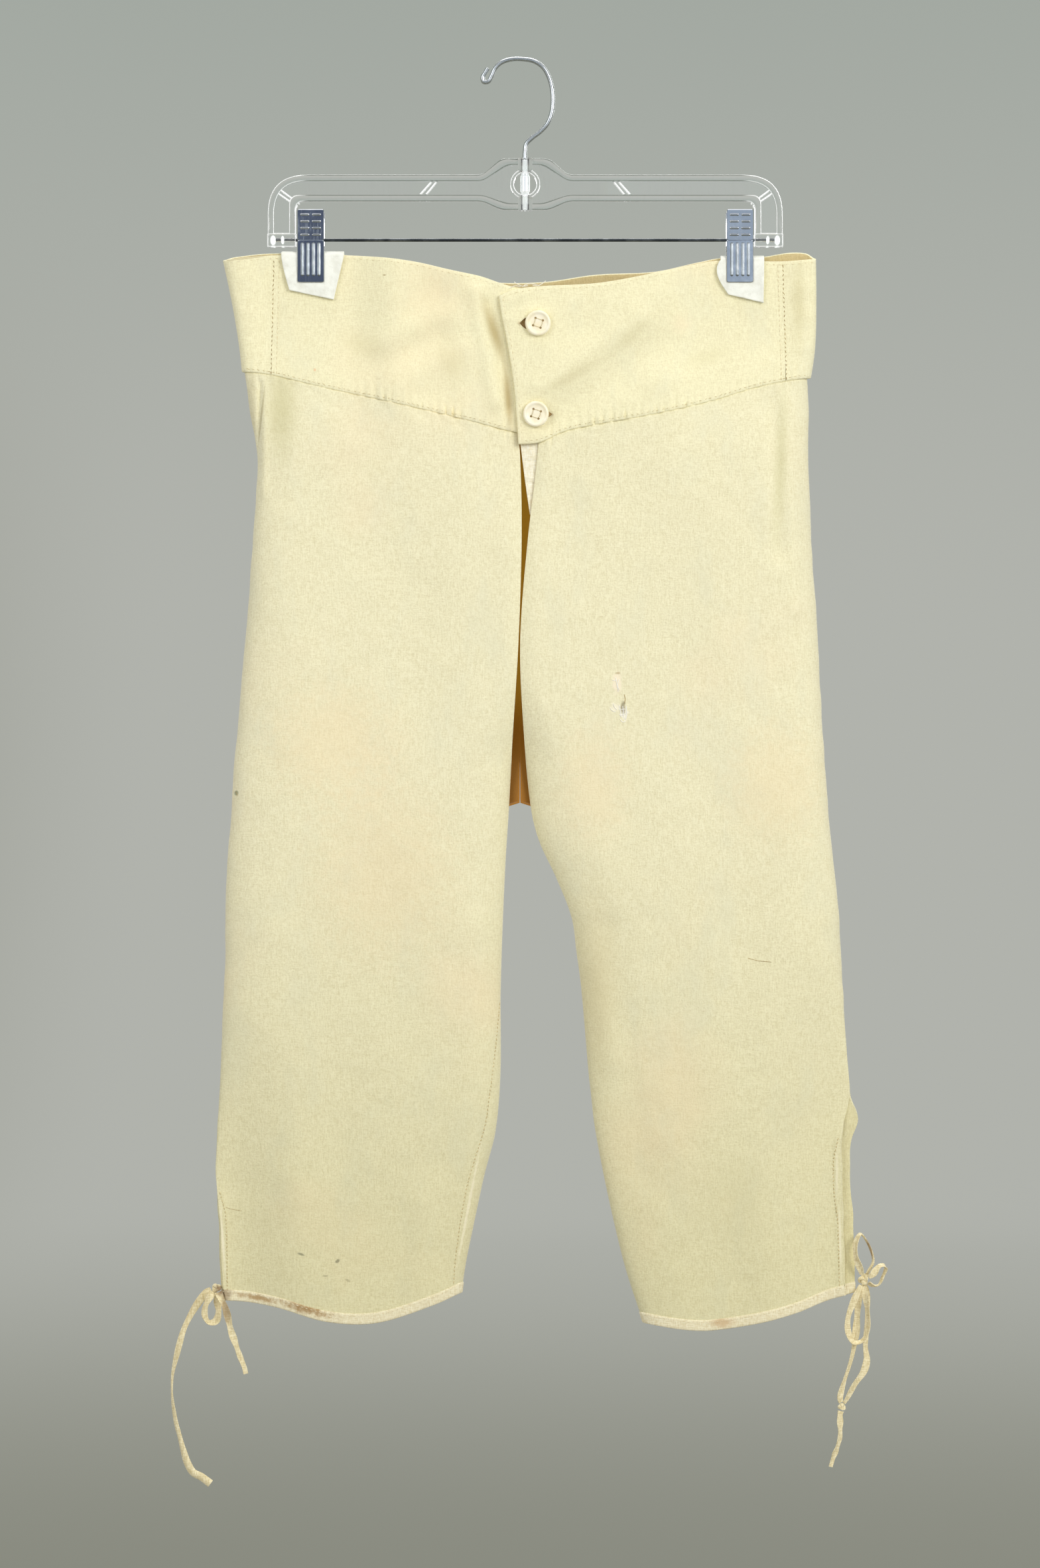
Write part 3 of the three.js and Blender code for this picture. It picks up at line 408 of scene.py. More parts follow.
class Graph:
    # a node tree; node() makes every node, settings first
    def __init__(self, tree):
        self.tree = tree

    def node(self, kind, settings, values, output=0):
        made = self.tree.nodes.new(kind)
        for key, value in settings.items():
            setattr(made, key, value)
        for key, value in values.items():
            if isinstance(value, Wire):
                self.tree.links.new(value.socket, made.inputs[key])
            else:
                made.inputs[key].default_value = value
        return Wire(self, made.outputs[output]) if len(made.outputs) else None

    def maths(self, operation, first, second):
        return self.node("ShaderNodeMath", {"operation": operation}, {0: first, 1: second})

    def coordinates(self):
        return self.node("ShaderNodeTexCoord", {}, {}, "Object")

    def stretch(self, place, scale, turn=(0, 0, 0), move=(0, 0, 0)):
        values = {"Vector": place, "Scale": scale, "Rotation": turn, "Location": move}
        return self.node("ShaderNodeMapping", {}, values)

    def noise(self, place, scale, detail=2.0, roughness=0.5):
        values = {"Vector": place, "Scale": scale, "Detail": detail, "Roughness": roughness}
        return self.node("ShaderNodeTexNoise", {}, values)

    def between(self, value, low, high):
        # 0 below low and 1 above high, smooth in between
        values = {"Value": value, "From Min": low, "From Max": high, "To Min": 0.0, "To Max": 1.0}
        return self.node("ShaderNodeMapRange", {"interpolation_type": "SMOOTHSTEP"}, values)

    def mix(self, share, first, second, blend="MIX"):
        settings = {"data_type": "RGBA", "blend_type": blend}
        return self.node("ShaderNodeMix", settings, {0: share, 6: first, 7: second}, 2)

    def bump(self, height, distance):
        return self.node("ShaderNodeBump", {}, {"Height": height, "Distance": distance, "Strength": 1.0})

    def spot(self, place, mark, ragged):
        # a mark's share at a place: 1 inside, fading out at its edge, on the front only
        parts = self.node("ShaderNodeSeparateXYZ", {}, {0: place}, "X")
        x, z = parts - mark.x * mm, parts.output("Z") - mark.z * mm
        turn = radians(mark.turn)
        if turn:
            x, z = x * cos(turn) + z * sin(turn), z * cos(turn) - x * sin(turn)
        x, z = x / (mark.wide * mm), z / (mark.tall * mm)
        away = (x * x + z * z) ** 0.5
        edge = self.between(away + (ragged - 0.5) * mark.ragged, 1.0, mark.core)
        return edge * self.between(parts.output("Y"), 0.001, -0.001) * mark.strength


def rgb(red, green, blue):
    # a linear colour from screen values
    made = []
    for value in (red, green, blue):
        share = value / 255
        made.append(share / 12.92 if share <= 0.04045 else ((share + 0.055) / 1.055) ** 2.4)
    return (*made, 1.0)


def newMaterial(name):
    material = bpy.data.materials.new(name)
    material.use_nodes = True
    material.node_tree.nodes.clear()
    return material, Graph(material.node_tree)


def newFinish(name):
    material, graph = newMaterial(name)
    return material, graph, graph.coordinates()


def surface(graph, values):
    shader = graph.node("ShaderNodeBsdfPrincipled", {}, values)
    graph.node("ShaderNodeOutputMaterial", {}, {"Surface": shader})


# Finishes; colours are given as they look on screen.

flannelLook = {
    "light": (246, 240, 203), "shade": (226, 217, 175), "peach": (250, 226, 186), "grey": (228, 226, 196),
    "low": (236, 235, 222), "fleck": (206, 190, 146), "bump": 0.00028, "roughness": 0.94,
}


def flannelMaterial(name, look, tint=None, tintShare=0.0, marks=(), paintedGlow=False):
    # napped wool: a fine uneven weave, pale clouds, and a duller tone towards the hems; in the fly a painted
    # glow (emission) and a golden painted base colour stand in for the light that comes through the cloth
    material, g, place = newFinish(name)
    height = g.node("ShaderNodeSeparateXYZ", {}, {0: place}, "Z")
    upright = g.noise(g.stretch(place, (1500, 1500, 190)), 1.0, 3.0, 0.6)
    level = g.noise(g.stretch(place, (230, 230, 1600)), 1.0, 3.0, 0.6)
    crepe = g.noise(place, 780, 3.0, 0.62)
    nap = g.noise(place, 2300, 2.0, 0.6)
    cloud = g.noise(place, 6.5, 3.0, 0.55)
    drift = g.noise(g.stretch(place, (34, 34, 15), (0.1, 0.2, 0.0), (0.3, 0.1, 0.2)), 1.0, 3.0, 0.6)
    weave = upright * 0.38 + level * 0.28 + crepe * 0.34
    colour = g.mix(g.between(weave, 0.34, 0.62), rgb(*look["shade"]), rgb(*look["light"]))
    colour = g.mix(g.between(cloud, 0.5, 0.74) * 0.32, colour, rgb(*look["peach"]))
    colour = g.mix(g.between(drift, 0.5, 0.72) * 0.27, colour, rgb(*look["grey"]))
    colour = g.mix(g.between(height, -0.45, -0.95), colour, rgb(*look["low"]), "MULTIPLY")
    slub = g.between(g.noise(g.stretch(place, (190, 190, 1500), (0.2, 0.3, 0.0)), 1.0, 2.0, 0.5), 0.7, 0.77)
    colour = g.mix(slub * 0.4, colour, rgb(*look["fleck"]))
    if tint:
        colour = g.mix(tintShare, colour, rgb(*tint), "MULTIPLY")
    ragged = g.noise(place, 190, 3.0, 0.6)
    for mark in marks:
        colour = g.mix(g.spot(place, mark, ragged), colour, rgb(*mark.colour))
    relief = upright * 0.42 + level * 0.36 + crepe * 0.75 + nap * 0.3
    values = {
        "Base Color": colour, "Roughness": look["roughness"], "Normal": g.bump(relief, look["bump"]),
        "Sheen Weight": 0.22, "Sheen Roughness": 0.55, "Specular IOR Level": 0.25,
    }
    if paintedGlow:
        # painted glow: a golden base colour and emission in the fly stand in for light through the cloth
        x = g.node("ShaderNodeSeparateXYZ", {}, {0: place}, "X") - flyMiddle * mm
        inFly = g.between((x * x) ** 0.5, 0.05, 0.02) * g.between(height, -0.25, -0.28)
        inFly = inFly * g.between(height, -0.53, -0.515)
        deep = g.between(height, -0.425, -0.465)
        values["Base Color"] = g.mix(inFly, colour, g.mix(deep, rgb(182, 146, 62), rgb(146, 98, 34)))
        paintedGlowColour = g.mix(deep, rgb(106, 80, 20), rgb(88, 58, 10))
        values["Emission Color"] = g.mix(inFly * (0.75 + crepe * 0.5), (0, 0, 0, 1), paintedGlowColour)
        values["Emission Strength"] = 1.0
    surface(g, values)
    return material


tapeLook = {"light": (238, 225, 178), "shade": (198, 179, 128), "bump": 0.00016, "roughness": 0.86}


def tapeMaterial(name, look, marks=()):
    # a narrow woven tape: fine cross ribs and a diagonal twill
    material, g, place = newFinish(name)
    ribs = g.noise(g.stretch(place, (260, 260, 1900), (0.0, 0.5, 0.0)), 1.0, 2.0)
    weft = g.noise(g.stretch(place, (1800, 600, 300), (0.0, 0.4, 0.0)), 1.0, 2.0)
    soil = g.noise(place, 120, 4.0, 0.65)
    weave = ribs * 0.5 + weft * 0.5
    colour = g.mix(g.between(weave, 0.36, 0.64), rgb(*look["shade"]), rgb(*look["light"]))
    colour = g.mix(g.between(soil, 0.5, 0.72) * 0.35, colour, rgb(*look["shade"]))
    ragged = g.noise(place, 260, 4.0, 0.65)
    for mark in marks:
        colour = g.mix(g.spot(place, mark, ragged), colour, rgb(*mark.colour))
    normal = g.bump(weave + soil * 0.8, look["bump"])
    surface(g, {
        "Base Color": colour, "Roughness": look["roughness"], "Normal": normal,
        "Sheen Weight": 0.12, "Specular IOR Level": 0.3,
    })
    return material


def linenMaterial():
    material, g, place = newFinish("facing linen")
    upright = g.noise(g.stretch(place, (1500, 1500, 260)), 1.0, 2.0)
    level = g.noise(g.stretch(place, (260, 260, 1500)), 1.0, 2.0)
    soil = g.noise(place, 90, 3.0, 0.6)
    weave = upright * 0.5 + level * 0.5
    colour = g.mix(g.between(weave, 0.35, 0.65), rgb(236, 226, 192), rgb(252, 247, 226))
    colour = g.mix(g.between(soil, 0.55, 0.75) * 0.4, colour, rgb(226, 208, 162))
    surface(g, {
        "Base Color": colour, "Roughness": 0.88, "Normal": g.bump(weave, 0.00018), "Specular IOR Level": 0.3,
    })
    return material


def paddingMaterial():
    material, g, place = newFinish("pad cotton")
    weave = g.noise(place, 1300, 2.0)
    soft = g.noise(place, 160, 3.0, 0.6)
    colour = g.mix(g.between(soft, 0.3, 0.6), rgb(236, 236, 222), rgb(247, 248, 236))
    surface(g, {
        "Base Color": colour, "Roughness": 0.95, "Normal": g.bump(weave * 0.4 + soft, 0.0003),
        "Sheen Weight": 0.2, "Specular IOR Level": 0.2,
    })
    return material


def threadMaterial(name, light, shade):
    material, g, place = newFinish(name)
    twist = g.noise(place, 2600, 2.0)
    patch = g.noise(place, 60, 2.0)
    colour = g.mix(g.between(twist * 0.6 + patch * 0.4, 0.4, 0.6), rgb(*shade), rgb(*light))
    surface(g, {"Base Color": colour, "Roughness": 0.8, "Normal": g.bump(twist, 0.00008)})
    return material


def buttonMaterial():
    # polished cream china with a faint ring and a little soil in the hollow
    material, g, place = newFinish("button cream")
    cloud = g.noise(place, 140, 3.0, 0.5)
    grain = g.noise(g.stretch(place, (300, 300, 1400)), 1.0, 2.0)
    colour = g.mix(g.between(cloud, 0.35, 0.7), rgb(251, 240, 204), rgb(255, 248, 222))
    colour = g.mix(g.between(grain, 0.6, 0.8) * 0.12, colour, rgb(236, 220, 178))
    surface(g, {
        "Base Color": colour, "Roughness": 0.32, "Normal": g.bump(grain, 0.00003),
        "Coat Weight": 0.25, "Coat Roughness": 0.15,
    })
    return material


# where the hanger's painted highlights lie; the sockets hold painted glints where the rod's ends sit
plasticLook = {
    "middleX": 2.2, "ringZ": -85, "ringReach": 12.2, "armsFrom": 153, "webTop": -83.4, "webBottom": -92.6,
    "ribFrom": 55, "ribTo": 78,
    "sockets": [{"x": 174.2, "z": -124, "wide": 2.0, "tall": 3.6},
                {"x": 167.6, "z": -123.8, "wide": 1.2, "tall": 3.0}],
}


def plasticMaterial(name, clear, roughness, tone, faint, shine):
    # clear moulded plastic; painted highlights (emission and a whiter base colour) down the arms,
    # round the ring and on the ribs, and painted glints in the rod's sockets
    look = plasticLook
    material, g, place = newFinish(name)
    scuff = g.noise(g.stretch(place, (420, 420, 60), (0.3, 0.8, 0.2)), 1.0, 3.0, 0.7)
    x = g.node("ShaderNodeSeparateXYZ", {}, {0: place}, "X") - look["middleX"] * mm
    z = g.node("ShaderNodeSeparateXYZ", {}, {0: place}, "Z")
    side = (x * x) ** 0.5
    aboveRing = z - look["ringZ"] * mm
    paintedHighlight = g.between(side, (look["armsFrom"] - 4) * mm, (look["armsFrom"] + 4) * mm)
    away = (x * x + aboveRing * aboveRing) ** 0.5
    paintedHighlight = paintedHighlight + g.between(away, (look["ringReach"] + 0.6) * mm, (look["ringReach"] - 0.6) * mm)
    onRib = g.between(side, (look["ribFrom"] - 1) * mm, look["ribFrom"] * mm)
    onRib = onRib * g.between(side, (look["ribTo"] + 1) * mm, look["ribTo"] * mm)
    onRib = onRib * g.between(z, look["webTop"] * mm, (look["webTop"] - 0.6) * mm)
    paintedHighlight = paintedHighlight + onRib * g.between(z, look["webBottom"] * mm, (look["webBottom"] + 0.6) * mm)
    # painted glow: emission where a painted highlight lies, faint elsewhere
    paintedGlow = g.mix(paintedHighlight, (faint, faint, faint, 1), (shine, shine, shine, 1))
    # painted glints in the rod's sockets
    for spot in look["sockets"]:
        across, up = (side - spot["x"] * mm) / (spot["wide"] * mm), (z - spot["z"] * mm) / (spot["tall"] * mm)
        inSpot = g.between((across * across + up * up) ** 0.5, 1.1, 0.6)
        paintedGlow = g.mix(inSpot * 0.8, paintedGlow, (0.8, 0.83, 0.82, 1))
    colour = g.mix(g.between(scuff, 0.5, 0.75), rgb(*tone), rgb(*[0.98 * t for t in tone]))
    surface(g, {
        "Base Color": g.mix(paintedHighlight, colour, rgb(254, 255, 254)),
        "Roughness": g.between(scuff, 0.55, 0.8) * 0.06 + roughness,
        "IOR": 1.49, "Transmission Weight": clear, "Specular IOR Level": 0.5,
        "Emission Color": paintedGlow, "Emission Strength": 1.0,
    })
    return material


def chromeMaterial(name, light, dark, roughness, grain=1.0, shine=0.0):
    material, g, place = newFinish(name)
    haze = g.noise(place, 75, 3.0, 0.6)
    scratch = g.noise(g.stretch(place, (900, 900, 70)), 1.0, 2.0)
    colour = g.mix(g.between(haze, 0.4, 0.7), rgb(*dark), rgb(*light))
    surface(g, {
        "Base Color": colour, "Metallic": 1.0,
        "Roughness": g.between(scratch, 0.5, 0.8) * 0.14 * grain + roughness,
        "Normal": g.bump(haze * 0.8 + scratch * 0.2, 0.00002 * grain),
        # shine paints a glow (emission) on the metal
        "Emission Color": (0.86, 0.9, 0.88, 1), "Emission Strength": shine,
    })
    return material


# A stain, painted shade, painted highlight or pale patch: its middle, half its width and height, its colour
# and strength, how much of it is solid, how ragged its edge is, and its turn in degrees.
Mark = namedtuple("Mark", "x z wide tall colour strength core ragged turn", defaults=(0.35, 0.9, 0))
legMarks = [
    Mark(65.6, -431, 4.2, 10, (253, 240, 210), 0.85, ragged=1.3),
    Mark(65, -447.5, 4.6, 4.6, (255, 248, 226), 0.6, ragged=1.9),
    Mark(70, -452, 3.6, 6.5, (255, 252, 240), 0.55, ragged=1.9),
    Mark(69.3, -447.5, 2.1, 6.6, (138, 126, 98), 0.75, ragged=1.7),
    # painted highlights: pale lines along the raised inseam and the slits' turned edges
    Mark(-37, -792, 1.4, 54, (252, 243, 212), 0.55, core=0.2, turn=-11),
    Mark(-206.6, -816, 1.5, 34, (252, 244, 214), 0.6, core=0.2, turn=4),
    Mark(217.4, -768, 1.3, 22, (252, 244, 214), 0.42, core=0.2),
    Mark(219.7, -815, 1.3, 34, (252, 244, 214), 0.42, core=0.2, turn=2),
    Mark(65.8, -423.5, 2.2, 0.9, (176, 150, 96), 0.6),
    Mark(-152.2, -823.7, 3.8, 1.3, (124, 122, 94), 0.7, turn=-18),
    Mark(-127.2, -828.6, 2.6, 1.5, (122, 118, 92), 0.7, turn=40),
    Mark(-135.3, -838.8, 2.6, 1.1, (170, 162, 124), 0.6),
    Mark(-120.1, -842, 2.2, 1.2, (160, 150, 112), 0.5, turn=-30),
    Mark(-197.1, -506, 2.0, 2.4, (128, 134, 96), 0.7),
    Mark(175, -500, 50, 60, (246, 224, 178), 0.34, core=0.1),
    Mark(50, -500, 34, 60, (244, 222, 178), 0.34, core=0.1),
    Mark(-130, -470, 64, 60, (247, 224, 178), 0.36, core=0.1),
    Mark(-95, -560, 70, 90, (243, 218, 172), 0.3, core=0.1),
    # painted shade: the left leg's inner side, the right leg's side strip, crease line and fold below the
    # band, and soft folds on the left leg's outer side and above its hem
    Mark(52, -640, 22, 95, (206, 192, 146), 0.45, core=0, ragged=0.1),
    Mark(-186.6, -241, 5, 34, (206, 194, 148), 0.3, core=0.3, ragged=0.1),
    Mark(-179.8, -246, 1.1, 26, (176, 162, 114), 0.5, ragged=0.3, turn=-7),
    Mark(-166, -240, 17, 50, (206, 199, 150), 0.62, core=0, ragged=0.1),
    Mark(178, -280, 7, 80, (212, 206, 156), 0.45, core=0, ragged=0.1, turn=-3),
    Mark(148, -786, 30, 50, (214, 206, 158), 0.25, core=0, ragged=0.1),
]
bandMarks = [
    Mark(-143, -214, 1.2, 1.3, (240, 190, 140), 0.6),
    Mark(110, -182, 11, 11, (248, 228, 190), 0.3, core=0),
    # painted shadow beside the flap's edge, and painted shade along the diagonal fold on the flap
    Mark(-19, -188, 6.5, 33, (186, 168, 116), 0.85, core=0, ragged=0.1, turn=18),
    Mark(-9.6, -234, 4.5, 34, (184, 162, 108), 0.8, core=0, ragged=0.1, turn=5),
    Mark(34, -219, 36, 6.5, (206, 194, 146), 0.34, core=0, ragged=0.1, turn=30),
    Mark(74, -192, 28, 7, (212, 202, 154), 0.3, core=0, ragged=0.1, turn=42),
    # painted shade: along the right band's top edge, at the left band's side fold, and on three soft folds
    Mark(-190, -136.2, 19, 1.9, (182, 166, 126), 0.6, turn=8),
    Mark(191, -168, 8, 44, (218, 208, 160), 0.5, core=0, ragged=0.3),
    Mark(-110, -196, 22, 14, (228, 218, 172), 0.4, core=0, ragged=0.2, turn=-20),
    Mark(-48, -208, 15, 22, (228, 216, 170), 0.4, core=0, ragged=0.2, turn=25),
    Mark(128, -205, 26, 9, (230, 222, 176), 0.4, core=0, ragged=0.2, turn=15),
    Mark(-94.9, -148.8, 1.4, 0.7, (170, 148, 100), 0.7),
    Mark(-60, -168, 44, 30, (244, 226, 184), 0.3, core=0.1),
]
bindingMarks = [
    Mark(-181, -854.8, 22, 2.8, (170, 134, 80), 0.8, core=0.1, ragged=1.7, turn=-9),
    Mark(-148, -861.6, 27, 4.6, (160, 122, 68), 0.85, core=0.1, ragged=1.7, turn=-15),
    Mark(138, -871, 13, 5, (206, 176, 132), 0.75, core=0.2),
    Mark(-206, -852, 8, 7, (128, 96, 62), 0.6),
]
tieMarks = [
    Mark(-208, -849, 6, 6, (112, 74, 48), 0.75, core=0.2),
    Mark(-204, -862, 5, 13, (140, 106, 66), 0.6),
    Mark(-226, -862, 12, 6, (156, 124, 82), 0.5, turn=50),
    # painted shade inside the left bow's upper loop
    Mark(240, -821, 5, 14, (140, 106, 64), 0.7),
]

flannel = flannelMaterial("flannel outside", flannelLook, marks=legMarks)
# the inside carries the painted glow of the fly
flannelInside = flannelMaterial("flannel inside", flannelLook, (251, 249, 240), 0.8, paintedGlow=True)
bandLook = {**flannelLook, "light": (249, 243, 203), "shade": (232, 223, 180)}
bandFlannel = flannelMaterial("band flannel", bandLook, marks=bandMarks)
bandInside = flannelMaterial("band inside", flannelLook, (212, 194, 160), 0.8)
bindingLook = {**tapeLook, "light": (244, 236, 202), "shade": (222, 209, 168), "bump": 0.00026}
bindingTape = tapeMaterial("binding tape", bindingLook, bindingMarks)
tieLook = {**tapeLook, "light": (245, 234, 194), "shade": (212, 195, 146), "bump": 0.00009}
tieTape = tapeMaterial("tie tape", tieLook, tieMarks)
linen = linenMaterial()
padding = paddingMaterial()
creamThread = threadMaterial("cream thread", (248, 240, 208), (222, 204, 158))
brownThread = threadMaterial("soiled thread", (198, 176, 124), (150, 122, 74))
seamThread = threadMaterial("seam thread", (218, 202, 154), (186, 166, 116))
# soil behind the buttonholes, and painted shade in the buttons' holes
soilAndShadeCloth = threadMaterial("soil and shade cloth", (168, 138, 86), (136, 106, 60))
whiteThread = threadMaterial("white thread", (252, 250, 240), (232, 226, 208))
buttonCream = buttonMaterial()
# both plastics carry the painted highlights; the greyer edge plastic paints light and dark lines on moulded
# edges
clearPlastic = plasticMaterial("clear plastic", 1.0, 0.01, (255, 255, 255), 0.02, 0.02)
edgePlastic = plasticMaterial("plastic edges", 0.55, 0.12, (150, 158, 150), 0.0, 0.2)
brightChrome = chromeMaterial("bright chrome", (222, 224, 228), (196, 199, 205), 0.07)
wireChrome = chromeMaterial("plated wire", (208, 211, 214), (194, 198, 202), 0.27, 0.02)
# painted glow: the sleeve's emission stands in for light that reaches it through the clear plastic
sleeveChrome = chromeMaterial("sleeve chrome", (222, 224, 228), (196, 199, 205), 0.12, 0.2, 0.6)
ribSteel = chromeMaterial("rib steel", (192, 198, 202), (154, 160, 165), 0.3, 0.4)
steel = chromeMaterial("steel", (120, 124, 127), (74, 78, 82), 0.18, 0.5)
print("finishes made")


# The ties come first: free tapes and their knots.

tie = {
    "width": 3.1, "thick": 0.8, "step": 6, "knotWire": 1.25, "knotGap": 0.5, "knotSteps": 96,
    "spread": 1.5, "waver": 0.24, "waverTurn": 23,  # how wide the tape lies, and how unevenly
    "endFrom": 0.72, "endTo": 0.9,  # where a bare end widens
    "crease": 0.22,  # how deeply the tape is folded along its middle
}
knots = {
    "tie_right_knot": {"at": (-211.4, 0, -848.4), "radius": 3.4, "tilt": 20},
    "tie_left_knot": {"at": (236, 0, -842.6), "radius": 4, "tilt": -35},
    "tie_left_tail_knot": {"at": (221, 0, -930.4), "radius": 2.6, "tilt": 60},
}
# Each tape's route, from the knot that it leaves to the one that it goes to, if any.
ties = {
    "tie_right_long": {
        "from": "tie_right_knot", "end": "bare", "endWidth": 5.6, "twist": (0.0, 0.5, 1.6, 2.6, 3.1),
        "points": [
            (-217.8, 0.5, -851.2), (-223.3, 1, -857.6), (-228.8, 1, -866.3), (-233.8, 0.5, -876.4),
            (-237.2, 0, -887.4), (-239.8, 0, -897.5), (-241.8, 0, -907.5), (-242.1, 0, -919.5),
            (-241.6, 0, -928.2), (-239.8, 0, -940.6), (-237, 0, -950.7), (-234.3, 0, -960.8),
            (-231.5, 0, -969.5), (-227.6, 0, -976), (-222, 0, -979), (-215.4, 0, -983.8),
        ],
    },
    "tie_right_short": {
        "from": "tie_right_knot", "end": "bare", "endWidth": 3.4, "twist": (0.3, -0.2, 0.7, 0.1), "points": [
            (-208.6, -4.4, -853.6), (-204.8, -7.4, -860.6), (-202.7, -7, -868), (-200.8, -6, -877.4),
            (-198.1, -5, -886.1), (-194.9, -4.4, -895.2), (-191.7, -4, -903), (-190.7, -4, -907.2),
        ],
    },
    "tie_right_loop": {
        "from": "tie_right_knot", "to": "tie_right_knot", "end": "object", "twist": (0.0, 0.9, 0.2),
        "points": [
            (-215, -3.6, -853.4), (-218.8, -4, -860.4), (-219.4, -3.4, -866.8), (-216.6, -2, -872),
            (-211.6, -0.4, -871.4), (-209.9, 1.4, -865), (-211, 2.2, -857.6), (-211.3, 2, -854),
        ],
    },
    "tie_left_upper_loop": {
        "from": "tie_left_knot", "to": "tie_left_knot", "end": "object", "twist": (0.2, 1.1, 0.3), "points": [
            (234, -3.6, -835.6), (230.6, -6, -826), (230.4, -6, -817.4), (233.8, -5, -810.8),
            (238.2, -3, -816.2), (241.6, -1, -824), (242.6, 0.8, -830.4), (239.4, 1.4, -836.6),
        ],
    },
    "tie_left_side_loop": {
        "from": "tie_left_knot", "to": "tie_left_knot", "end": "object", "twist": (0.0, 1.0, 0.0), "points": [
            (242.2, -3.2, -838.8), (247.4, -3, -832.8), (251, -1.4, -833.6), (249.2, 0.6, -840.6),
            (246.4, 1.6, -846.4), (243.4, 1.6, -846.8),
        ],
    },
    "tie_left_lower_loop": {
        "from": "tie_left_knot", "to": "tie_left_knot", "end": "object", "twist": (0.1, 0.5, 1.3, 0.4),
        "points": [
            (232.4, -2.4, -849.6), (228.4, -3, -858.4), (225, -3, -868.6), (225, -2.8, -878.4),
            (229, -2.4, -886), (235.6, -1.8, -884.6), (239.6, -1.6, -876), (239, -2, -864),
            (237, -3, -852.4),
        ],
    },
    "tie_left_tail_inner": {
        "from": "tie_left_knot", "to": "tie_left_tail_knot", "end": "knot", "twist": (0.6, 0.0, 1.2, 0.4),
        "points": [
            (233.2, 3, -849.8), (232.4, 4.4, -862), (231.4, 4.2, -876), (229.6, 3.4, -889),
            (226.4, 2, -901), (222.4, 0, -913), (219.6, -1.4, -923.6),
        ],
    },
    "tie_left_tail_outer": {
        "from": "tie_left_knot", "to": "tie_left_tail_knot", "end": "knot", "twist": (0.0, 0.8, 0.1, 0.9),
        "points": [
            (238, 4.8, -849.6), (238.8, 5.6, -862), (238.2, 5.2, -876), (237.4, 4, -889),
            (238.4, 3, -898.6), (236.2, 2.4, -906.4), (229.8, 2.4, -915.6), (224.6, 2, -924.8),
        ],
    },
    "tie_left_tail_end": {
        "from": "tie_left_tail_knot", "end": "bare", "endWidth": 3.0, "twist": (0.2, 0.9, 0.3), "points": [
            (219.8, 0, -935.4), (219.6, 0, -942), (219.6, 0, -950), (218, 0, -957.4), (215.4, 0, -964.4),
            (213.2, 0, -972),
        ],
    },
}


def knotSurface(name, towards):
    centre = Vector(knots[name]["at"])
    return centre + (Vector(towards) - centre).normalized() * (knots[name]["radius"] + tie["knotGap"])


def tieRoute(form):
    points = [knotSurface(form["from"], form["points"][0])] + [Vector(p) for p in form["points"]]
    if "to" in form:
        points.append(knotSurface(form["to"], form["points"][-1]))
    return smoothRoute(points, tie["step"])


def tapeMesh(name, route, form, material):
    # a flat tape with a soft crease down its middle, turning about its route
    turnRows = [(k / (len(form["twist"]) - 1), t) for k, t in enumerate(form["twist"])]
    corners = [(1, 0), (0.94, 0.75), (0.6, 1), (0.2, 1), (-0.2, 1), (-0.6, 1), (-0.94, 0.75),
               (-1, 0), (-0.94, -0.75), (-0.6, -1), (-0.2, -1), (0.2, -1), (0.6, -1), (0.94, -0.75)]

    def section(share):
        turn = float(read(turnRows, share))
        half = tie["width"] / 2 * (tie["spread"] + tie["waver"] * sin(share * tie["waverTurn"] + len(name)))
        if "endWidth" in form:
            half = lerp(half, form["endWidth"] / 2, float(smoothstep(share, tie["endFrom"], tie["endTo"])))
        else:
            nearEnd = share < 0.16 or share > 0.84
            half *= 0.75 + 0.25 * sin(pi * min(share, 1 - share) * 3 if nearEnd else pi / 2)
        made = []
        for x, y in corners:
            across = x * half
            out = y * tie["thick"] / 2 + abs(x) * half * tie["crease"] * 2 - half * tie["crease"]
            made.append((across * cos(turn) - out * sin(turn), across * sin(turn) + out * cos(turn)))
        return made

    points, faces = sweep(route, section)
    return newMesh(name, [tuple(p) for p in points], faces, [material])


def knotMesh(name, form, material):
    # a tight trefoil of the same tape
    tilt = Matrix.Rotation(radians(form["tilt"]), 3, "Y")
    size = (form["radius"] - tie["knotWire"] * 0.72) / 3
    route = []
    for t in turns(tie["knotSteps"]):
        flat = Vector((sin(t) + 2 * sin(2 * t), -sin(3 * t) * 1.15, cos(t) - 2 * cos(2 * t)))
        route.append(Vector(form["at"]) + tilt @ (flat * size))

    def section(share):
        wide, thin = tie["knotWire"] * 1.15, tie["knotWire"] * 0.62
        return [(wide * cos(t), thin * sin(t)) for t in turns(10)]

    points, faces = sweep(route, section, closed=True, start=(0.2, -1, 0.3))
    return newMesh(name, [tuple(p) for p in points], faces, [material])


knotPieces = {}
for name, form in knots.items():
    knotPieces[name] = settle(knotMesh(name + "_tape", form, tieTape), "tape", name)
for name, form in ties.items():
    route = tieRoute(form)
    piece = settle(tapeMesh(name + "_tape", route, form, tieTape), "tape", name)
    withKnots = [knotPieces[form["from"]]] if name in ("tie_right_long", "tie_left_upper_loop") else []
    withKnots += [knotPieces["tie_left_tail_knot"]] if name == "tie_left_tail_inner" else []
print("ties made")


# The garment's shape: one table for each edge, and its soft folds.

